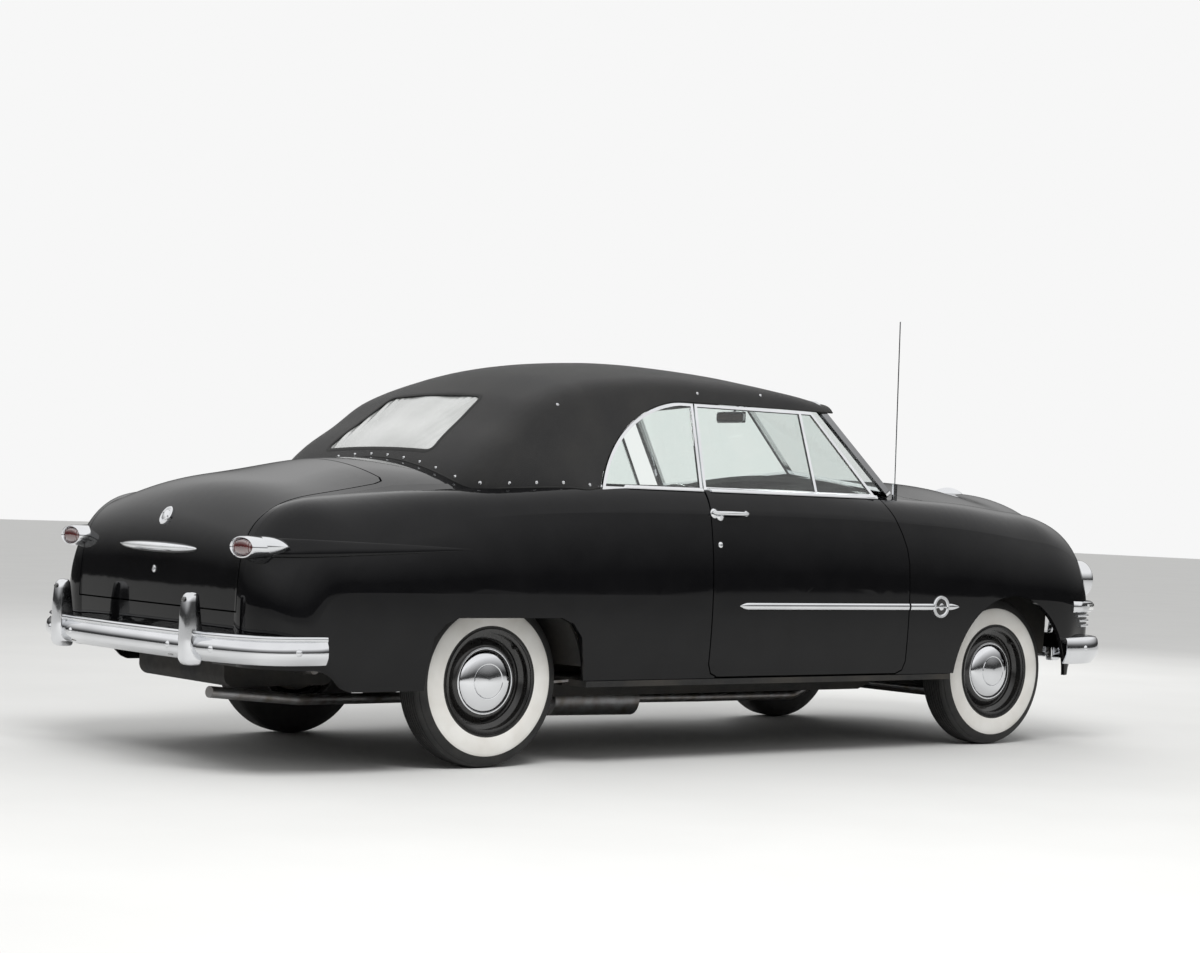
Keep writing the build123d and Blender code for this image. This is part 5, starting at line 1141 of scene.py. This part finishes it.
LENS_RADIUS = 0.0826
RIM_SECTION = [(-0.075, 0.0952), (0.045, 0.0952), (0.058, 0.0948), (0.067, 0.0925), (0.0715, 0.0885),
               (0.0705, 0.0850), (0.0665, 0.0832), (0.0630, 0.0828), (0.0560, 0.0840)]
PARKING_GLASS = ((0.020, 0.015), (0.034, 0.014), (0.0385, 0.0), (0.034, -0.014), (0.020, -0.015))
BOWL_SECTION = [(0.058, LENS_RADIUS), (0.035, 0.0760), (0.010, 0.0600), (-0.010, 0.0380), (-0.020, 0.0150),
                (-0.022, 0.0)]


def bulge(y, z):
    """How far the flutes stand out at a place on the headlight's lens."""
    return 0.0110 * max(1 - (y * y + z ** 2) / LENS_RADIUS ** 2, 0) ** 0.8


for hand, side in HANDS:
    eye = Vector((2.250, side * 0.706, 0.772))
    rim = piece("headlight_rim_" + hand, lathe(RIM_SECTION, eye, FORWARD, 80), CHROME, BODY, 50)
    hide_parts("headlights")
    piece("headlight_bowl_" + hand, lathe(BOWL_SECTION, eye, FORWARD, 64, False), REFLECTOR, BODY, 60)
    lens = [(0.0600 + 0.0112 * (1 - t * t) ** 0.8, LENS_RADIUS * t) for t in (i / 10 for i in range(11))]
    back = [(a - 0.004, r) for a, r in lens]
    piece("headlight_lens_" + hand, lathe(lens[::-1] + back, eye, FORWARD), LENS, BODY, 60)
    flutes = []
    for y in (0.0125 * k for k in range(-6, 7)):
        high = math.sqrt(max(0.079 ** 2 - y * y, 0.0001))
        flutes.append(round_bar([eye + Vector((0.0594 + bulge(y, u * high), y, u * high))
                                 for u in np.linspace(-0.97, 0.97, 9)], 0.0011, 6))
    piece("headlight_flutes_" + hand, join(*flutes), LENS, BODY, 60)

    # Parking light: a bright block round the corner with three ribs below it
    base = list(zip(*nose_line(side, 0.648, np.linspace(32, 82, 22))))
    case_rings = []
    for i, (p, n) in enumerate(base):
        out = 0.032 * min(1, min(i, len(base) - 1 - i) / 3 + 0.25)
        case_rings.append([p + flat_way(n) * a + UP * b for a, b in (
            (-0.010, 0.024), (out * 0.6, 0.026), (out * 0.92, 0.020), (out, 0.0), (out * 0.92, -0.020),
            (out * 0.6, -0.026), (-0.010, -0.024))])
    piece("parking_light_case_" + hand, loft(case_rings), CHROME, BODY, 50)
    glass_rings = [[p + flat_way(n) * a + UP * b for a, b in PARKING_GLASS] for p, n in base[6:16]]
    piece("parking_light_lens_" + hand, loft(glass_rings), LENS, BODY, 50)
    ribs = [strip(*nose_line(side, z, np.linspace(34 + 3 * k, 76 - 3 * k, 18)), 0.013, 0.010)
            for k, z in enumerate((0.604, 0.580, 0.557))]
    piece("corner_ribs_" + hand, join(*ribs), CHROME, BODY, 50)

# Grille: a bar across with two bullets, a moulding round the opening and slats behind
BAR_Z = 0.632
BAR_HALF = 0.585
OPENING_Z = 0.63
BAR_SECTION = ((-0.030, 0.020), (-0.010, 0.0235), (0.0, 0.019), (0.002, 0.008), (-0.002, 0.0),
               (0.002, -0.008), (0.0, -0.019), (-0.010, -0.0235), (-0.030, -0.020))
BULLET = [(-0.018, 0.080), (-0.014, 0.0875), (0.012, 0.0875), (0.022, 0.082), (0.026, 0.070), (0.026, 0.062),
          (0.034, 0.056), (0.055, 0.050), (0.074, 0.038), (0.086, 0.020), (0.0895, 0.0)]
SURROUND_SECTION = ((-0.004, -0.020), (-0.004, 0.004), (0.002, 0.009), (0.010, 0.008), (0.014, 0.002),
                    (0.014, -0.004))
SURROUND_ROUTE = ((0.508, 0.764), (-0.508, 0.764), (-0.524, 0.740), (-0.524, 0.520), (-0.508, 0.496),
                  (0.508, 0.496), (0.524, 0.520), (0.524, 0.740), (0.508, 0.764))
bar_rings = [[Vector((2.398 - 0.045 * abs(y / BAR_HALF) ** 2.4 + a, y, BAR_Z + b)) for a, b in BAR_SECTION]
             for y in np.linspace(-BAR_HALF, BAR_HALF, 61)]
grille_bar = piece("grille_bar", loft(bar_rings), CHROME, BODY, 50)
bullets = [lathe(BULLET, (2.345, side * 0.26, BAR_Z), FORWARD) for _, side in HANDS]
piece("grille_bullets", join(*bullets), CHROME, BODY, 50)
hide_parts("grille")
panel_tree = tree_of("front_panel")
surround_rings = []
for p in resample(rounded([(0, y, z) for y, z in SURROUND_ROUTE], 0.02, 6), 160):
    outward = Vector((0, p.y, p.z - OPENING_Z)).normalized()
    found = panel_tree.ray_cast(Vector((3, p.y * 1.012, OPENING_Z + (p.z - OPENING_Z) * 1.05)), -FORWARD)[0]
    place = Vector((2.36 if found is None else found.x, p.y, p.z))
    surround_rings.append([place + outward * a + FORWARD * b for a, b in SURROUND_SECTION])
piece("grille_surround", loft(surround_rings), CHROME, BODY, 50)
slats = [round_bar([Vector((2.335 - 0.030 * abs(y / 0.51) ** 2, y, z))
                    for y in np.linspace(-0.512, 0.512, 25)], 0.0045, 8)
         for z in (0.532, 0.567, 0.602, 0.662, 0.697, 0.732)]
piece("grille_slats", join(*slats), DULL_CHROME)

# Ornament at the hood's nose, and the moulding behind it
hood_tree = tree_of("hood")
fin = []
for t in np.linspace(0, 1, 30):
    place, _ = seat(hood_tree, (2.02 + 0.325 * t, 0, 1.6), DOWN)
    high, wide = 0.010, 0.004
    if t < 0.82:
        high = 0.034 * math.sin(math.pi * min(1, t * 1.15 + 0.04)) ** 0.7 * (1 - 0.45 * t) + 0.003
    if 0 < t < 1:
        wide += 0.011 * math.sin(math.pi * t) ** 0.6
    fin.append([place + Vector((0, a * wide, b * high - 0.003)) for a, b in (
        (1.3, 0), (1.0, 0.35), (0.35, 0.9), (0, 1.0), (-0.35, 0.9), (-1.0, 0.35), (-1.3, 0))])
piece("hood_ornament", loft(fin), CHROME, "engine_hood", 50)
ridge = [seat(hood_tree, (x, 0, 1.6), DOWN) for x in np.linspace(1.14, 2.04, 40)]
piece("hood_strip", tape(ridge, 0.010, 0.004), CHROME, "engine_hood", 50)


def skin(name, geometry, made, thickness, body=BODY, sharp=60):
    """A sheet of that thickness from an open surface."""
    sheet = piece(name, geometry, made, body, sharp)
    modified(sheet, ("SOLIDIFY", {"thickness": thickness, "offset": 0}))
    settle(sheet, made, body, sharp)


# Inner panels beside the engine, bending outward ahead of the front wheels
for hand, side in HANDS:
    rows = [[Vector((x, side * (np.interp(x, (1.13, 2.00, 2.12, 2.27), (0.437, 0.437, 0.50, 0.535))
                                + 0.012 * math.sin((z - 0.4) * 6)), z)) for x in np.linspace(1.13, 2.27, 30)]
            for z in np.linspace(0.402, 0.885, 12)]
    skin("inner_fender_" + hand, loft(rows, closed=False), UNDERCOAT, 0.003)


# Seats: pads swollen by a short cloth run, on a plain base, with pleated inserts
PAD_VOXEL = 0.016
PAD_SWELL = 0.016
SWELL_FRAMES = 20


def pad_form(rows):
    """A closed form from rings of (x, z, half width, half depth, lean)."""
    return loft([[Vector((x + s * depth * math.cos(lean), c * half, z + s * depth * math.sin(lean)))
                  for c, s in squared(72, 0.28)] for x, z, half, depth, lean in rows])


def swollen(obj):
    """Puffs a pad up as stuffed fabric, each point moving no farther than the limit."""
    modified(obj, ("REMESH", {"mode": "VOXEL", "voxel_size": PAD_VOXEL}))
    before = [v.co.copy() for v in obj.data.vertices]
    cloth = obj.modifiers.new("swell", "CLOTH")
    cloth.settings.use_pressure = True
    cloth.settings.uniform_pressure_force = 4.0
    cloth.settings.effector_weights.gravity = 0
    cloth.settings.quality = 4
    cloth.point_cache.frame_start = 1
    cloth.point_cache.frame_end = SWELL_FRAMES
    for number in range(1, SWELL_FRAMES + 1):
        scene.frame_set(number)
    graph = bpy.context.evaluated_depsgraph_get()
    grown = bpy.data.meshes.new_from_object(obj.evaluated_get(graph))
    after = [v.co.copy() for v in grown.vertices]
    obj.modifiers.clear()
    bpy.data.meshes.remove(grown)
    for vertex, old, new in zip(obj.data.vertices, before, after):
        move = new - old
        if move.length > PAD_SWELL:
            move *= PAD_SWELL / move.length
        vertex.co = old + move
    scene.frame_set(1)
    modified(obj, ("SMOOTH", {"factor": 0.5, "iterations": 3}), ("SUBSURF", {"levels": 1}))


def pad(name, rows):
    made = piece(name, pad_form(rows), SEAT_VINYL, BODY, 60)
    swollen(made)
    settle(made, SEAT_VINYL, BODY, 60)


def seat_pads(name, front, rear, low, high, half, back_root, back_top, back_depth, lean):
    """A bench: one long cushion and a back, each with a bolster at its outer ends."""
    middle_z, half_z = (low + high) / 2, (high - low) / 2
    cushion, back = [], []
    for t in np.linspace(0, 1, 15):
        end = math.sin(math.pi * min(max(t, 0.02), 0.98)) ** 0.32
        cushion.append((rear + (front - rear) * t, middle_z + 0.012 * t - 0.006, half * (0.985 + 0.015 * end),
                        half_z * end, math.pi / 2))
        x, z = (a + (b - a) * t for a, b in zip(back_root, back_top))
        back.append((x, z, half * (0.97 + 0.02 * end - 0.03 * t), back_depth * end, math.radians(lean)))
    pad(name + "_cushion", cushion)
    pad(name + "_back", back)


seat_pads("front_seat", 0.336, -0.195, 0.408, 0.552, 0.640, (-0.222, 0.552), (-0.322, 0.975), 0.058, 12)
seat_pads("rear_seat", -0.482, -0.972, 0.444, 0.582, 0.548, (-0.972, 0.580), (-1.052, 1.008), 0.056, 10)
front_base = piece("front_seat_base", both(block(-0.175, 0.285, 0.100, 0.598, 0.352, 0.420)), SEAT_VINYL)
rear_base = piece("rear_seat_base", both(block(-0.888, -0.522, 0.098, 0.535, 0.352, 0.450)), SEAT_VINYL)
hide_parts("front_seat")
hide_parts("rear_seat")


def pleats(name, pad_name, way, width, lines):
    """Cloth panels sewn on a pad in raised pleats."""
    tree = tree_of(pad_name)
    piece(name, join(*[tape([seat(tree, p, way) for p in line], width, 0.006) for line in lines]), SEAT_CLOTH,
          BODY, 60)


front_y = np.linspace(-0.52, 0.52, 17)
rear_y = np.linspace(-0.44, 0.44, 14)
pleats("front_seat_pleats", "front_seat_cushion", DOWN, 0.060,
       [[(x, y, 1.0) for x in np.linspace(-0.10, 0.28, 14)] for y in front_y])
pleats("front_back_pleats", "front_seat_back", -FORWARD, 0.060,
       [[(0.4, y, z) for z in np.linspace(0.63, 0.93, 14)] for y in front_y])
pleats("rear_seat_pleats", "rear_seat_cushion", DOWN, 0.062,
       [[(x, y, 1.0) for x in np.linspace(-0.85, -0.54, 12)] for y in rear_y])
pleats("rear_back_pleats", "rear_seat_back", -FORWARD, 0.062,
       [[(-0.4, y, z) for z in np.linspace(0.66, 0.96, 14)] for y in rear_y])

# Steering wheel: rim with finger ridges, hub, spokes and a thin horn ring
hub = Vector((0.580, 0.370, 0.945))
shaft_way = Vector((0.8799, 0.0, -0.4751)).normalized()
hub_face = hub - shaft_way * 0.040
steer_side = Vector((0, 1, 0))
steer_up = steer_side.cross(shaft_way).normalized()


def rim_way(turn):
    return steer_side * math.cos(turn) + steer_up * math.sin(turn)


def on_rim(turn, radius, lift=0.0):
    return hub_face + rim_way(turn) * radius - shaft_way * lift


def hoop(radius, thick, lift=0.0, count=96, ridges=0):
    """A closed ring about the shaft, with ridges along it if asked."""
    rings = []
    for turn in turns(count):
        swell = thick * (1 + 0.05 * math.cos(turn * ridges)) if ridges else thick
        rings.append([on_rim(turn, radius, lift) + rim_way(turn) * (math.cos(a) * swell)
                      + shaft_way * (math.sin(a) * swell) for a in turns(14)])
    return loft(rings + rings[:1], caps=False)


spokes = []
for turn in (math.pi * 0.5, math.pi * 7 / 6, math.pi * 11 / 6):
    for gap in (-0.012, 0.012):
        aside = (steer_side * -math.sin(turn) + steer_up * math.cos(turn)) * gap
        spokes.append(round_bar([on_rim(turn, r, lift) + aside
                                 for r, lift in ((0.030, 0.000), (0.110, -0.004), (0.205, 0.0))], 0.0042, 10))
hub_boss = lathe([(0.030, 0.0), (0.030, 0.032), (0.000, 0.034), (-0.010, 0.031), (-0.012, 0.0)], hub_face,
                 shaft_way, 40)
wheel_rim = piece("steering_rim", join(hoop(0.215, 0.0108, ridges=40), *spokes, hub_boss), PLASTIC,
                  "hand_wheel", 50)
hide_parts("steering_wheel")
horn_stays = [round_bar([on_rim(turn, 0.028, 0.008), on_rim(turn, 0.135, 0.006)], 0.0022, 8)
              for turn in (0.5, math.pi - 0.5)]
horn_boss = lathe([(-0.010, 0.024), (-0.016, 0.022), (-0.020, 0.013), (-0.021, 0.0)], hub_face, shaft_way, 32)
piece("horn_ring", join(hoop(0.135, 0.0032, 0.006, 72), *horn_stays, horn_boss), CHROME, "hand_wheel", 50)
piece("steering_shaft", round_bar([hub_face + shaft_way * 0.02, hub + shaft_way * 0.10], 0.0098, 20), STEEL,
      "hand_wheel")

# Door trims: a pleated panel, armrest, window crank and inside handle on each door
TRIM_X = (-0.185, 0.800)
TRIM_Z = (0.470, 1.085)
INSERT_X = (-0.11, 0.73)
INSERT_Z = (0.60, 0.97)
CABIN_Y = 0.30
CRANK_BOSS = [(-0.002, 0.021), (0.006, 0.021), (0.010, 0.013), (0.026, 0.010), (0.028, 0.0)]
CRANK_KNOB = [(0.0, 0.0), (0.0, 0.007), (0.004, 0.011), (0.018, 0.011), (0.022, 0.007), (0.023, 0.0)]
ARMREST_Z = 0.80
ARMREST = ((-0.04, 0.006, 0.010), (-0.03, 0.030, 0.022), (0.02, 0.044, 0.030), (0.16, 0.048, 0.031),
           (0.30, 0.044, 0.030), (0.35, 0.030, 0.022), (0.36, 0.006, 0.010))


def inside(x, z, xs, zs):
    """How deep a point lies inside a rectangle."""
    return min(z - zs[0], zs[1] - z, x - xs[0], xs[1] - x)


def from_cabin(tree, side, x, z):
    """The place and normal on the inside of a door."""
    return seat(tree, (x, side * CABIN_Y, z), (0, side, 0))


for hand, side in HANDS:
    door = hand + "_door"
    door_tree = tree_of("door_" + hand)
    inward = Vector((0, -side, 0))
    rows = []
    for x in np.linspace(*TRIM_X, 150):
        row = []
        for z in np.linspace(*TRIM_Z, 50):
            place, _ = from_cabin(door_tree, side, x, z)
            within = min(1.0, max(0.0, inside(x, z, INSERT_X, INSERT_Z) / 0.012))
            edge = min(1.0, inside(x, z, TRIM_X, TRIM_Z) / 0.008)
            row.append(place + inward * (0.0015 + 0.004 * edge
                                         + within * 0.0025 * abs(math.sin(math.pi * x / 0.036)) ** 0.5))
        rows.append(row)
    skin("door_trim_" + hand, loft(rows, closed=False), SEAT_VINYL, 0.003, door, 50)
    trim_tree = tree_of("door_trim_" + hand)
    corners = [(INSERT_X[i], side * CABIN_Y, INSERT_Z[k])
               for i, k in ((0, 0), (0, 1), (1, 1), (1, 0), (0, 0))]
    found = [from_cabin(trim_tree, side, p.x, p.z) for p in resample(rounded(corners, 0.03), 170)]
    piece("door_trim_bead_" + hand, tape(found, 0.009, 0.004), DULL_CHROME, door)
    rest, _ = from_cabin(trim_tree, side, 0.16, ARMREST_Z)
    rings = [[Vector((x, rest.y - side * (0.004 + wide * 0.5 * (1 + c)), ARMREST_Z + s * tall))
              for c, s in squared(32, 0.6, 0.7)] for x, wide, tall in ARMREST]
    piece("armrest_" + hand, loft(rings), SEAT_VINYL, door, 50)
    for name, x, z, reach in (("window_crank_", 0.52, 0.72, UP * 0.105),
                              ("inside_handle_", 0.60, 0.895, FORWARD * -0.10)):
        place, _ = from_cabin(trim_tree, side, x, z)
        boss = lathe(CRANK_BOSS, place, inward, 32)
        tip = place + inward * 0.030 + reach
        arm = round_bar([place + inward * 0.022, place + inward * 0.026 + reach * 0.5, tip],
                        [0.0072, 0.0058, 0.0066], 14)
        parts = [boss, arm]
        if name == "window_crank_":
            parts.append(lathe(CRANK_KNOB, tip, inward, 24))
        piece(name + hand, join(*parts), CHROME, door)

# Dashboard: instrument dial, clock, radio grille, glove box and knobs
dash_tree = tree_of("dashboard")


def on_dash(y, z):
    return seat(dash_tree, (0.45, y, z), FORWARD)


across = Vector((0, 1, 0))
for name, y, z, radius in (("speed_dial", 0.37, 1.035, 0.062), ("clock", -0.40, 1.045, 0.036),
                           ("fuel_dial", 0.235, 1.035, 0.034), ("heat_dial", 0.505, 1.035, 0.034)):
    place, normal = on_dash(y, z)
    piece(name + "_ring", lathe([(-0.004, radius), (0.004, radius + 0.002), (0.009, radius - 0.002),
                                 (0.010, radius - 0.006), (0.004, radius - 0.009), (-0.003, radius - 0.009)],
                                place, normal, 56, False), CHROME)
    piece(name + "_face", lathe([(0.0, radius - 0.006), (0.0015, radius - 0.008), (0.0015, 0.0)], place,
                                normal, 48), PLASTIC)
    up = across.cross(normal).normalized()
    marks = [round_bar([place + normal * 0.0028 + (across * math.cos(a) + up * math.sin(a)) * radius * r
                        for r in (0.66, 0.80)], 0.0009, 6) for a in np.linspace(-0.6, math.pi + 0.6, 13)]
    needle = round_bar([place + normal * 0.0045 + (across * 0.5 + up * 0.86) * radius * r
                        for r in (-0.12, 0.66)], [0.0016, 0.0006], 6)
    piece(name + "_marks", join(needle, *marks), WHITEWALL)
bars = [strip(*seated_line(dash_tree, [(0.45, y, z) for y in (-0.105, -0.05, 0, 0.05, 0.105)], FORWARD, 24),
              0.0055, 0.005) for z in np.linspace(0.985, 1.075, 9)]
piece("radio_grille", join(*bars), CHROME)
seam = rounded([(0.45, y, z) for y, z in ((-0.22, 0.955), (-0.62, 0.955), (-0.62, 1.085), (-0.22, 1.085),
                                          (-0.22, 0.955))], 0.02)
piece("glove_box_bead", tape([on_dash(p.y, p.z) for p in resample(seam, 130)], 0.006, 0.0025), DULL_CHROME)
KNOB = [(-0.002, 0.006), (0.014, 0.006), (0.015, 0.012), (0.024, 0.012), (0.027, 0.009), (0.028, 0.0)]
knobs = [lathe(KNOB, *on_dash(y, z), 24) for y, z in (
    (0.60, 0.975), (0.66, 0.975), (0.165, 0.975), (-0.08, 0.965), (0.08, 0.965), (-0.30, 1.02))]
piece("dash_knobs", join(*knobs), CHROME)

# Carpet in the footwells, and the pedals
floor_tree = tree_of("floor_pan")
carpet_y = np.linspace(-0.62, 0.62, 110)
carpets = [loft([[seat(floor_tree, (x, y, 0.88), DOWN)[0] + UP * 0.004 for y in carpet_y] for x in xs],
                closed=False) for xs in (np.linspace(0.362, 0.900, 60), np.linspace(-0.462, -0.396, 10))]
skin("footwell_carpet", join(*carpets), CARPET, 0.004, BODY, 50)
pedals = []
for y in (0.30, 0.45):
    place = Vector((0.800, y, 0.570))
    pedals.append(round_bar([place, place + Vector((0.05, 0, 0.09)), place + Vector((0.12, 0, 0.24))], 0.007))
    pedals.append(block(place.x - 0.012, place.x, y - 0.038, y + 0.038, 0.545, 0.605))
piece("pedals", join(*pedals), RUBBER)


# Rear-view mirror: a dark shell with its glass facing back
def mirror_rings(*rows):
    """A form from rings of (x, half width, half height)."""
    return loft([[Vector((x, c * half_y, 1.480 + s * half_z)) for c, s in squared(72, 0.35)]
                 for x, half_y, half_z in rows])


piece("mirror_bezel", mirror_rings((0.652, 0.0955, 0.0265), (0.646, 0.0950, 0.0260), (0.644, 0.0930, 0.0240),
                                   (0.646, 0.0915, 0.0225)), DULL_CHROME)
piece("mirror_glass", mirror_rings((0.647, 0.0915, 0.0225), (0.6448, 0.0912, 0.0222)), MIRROR)
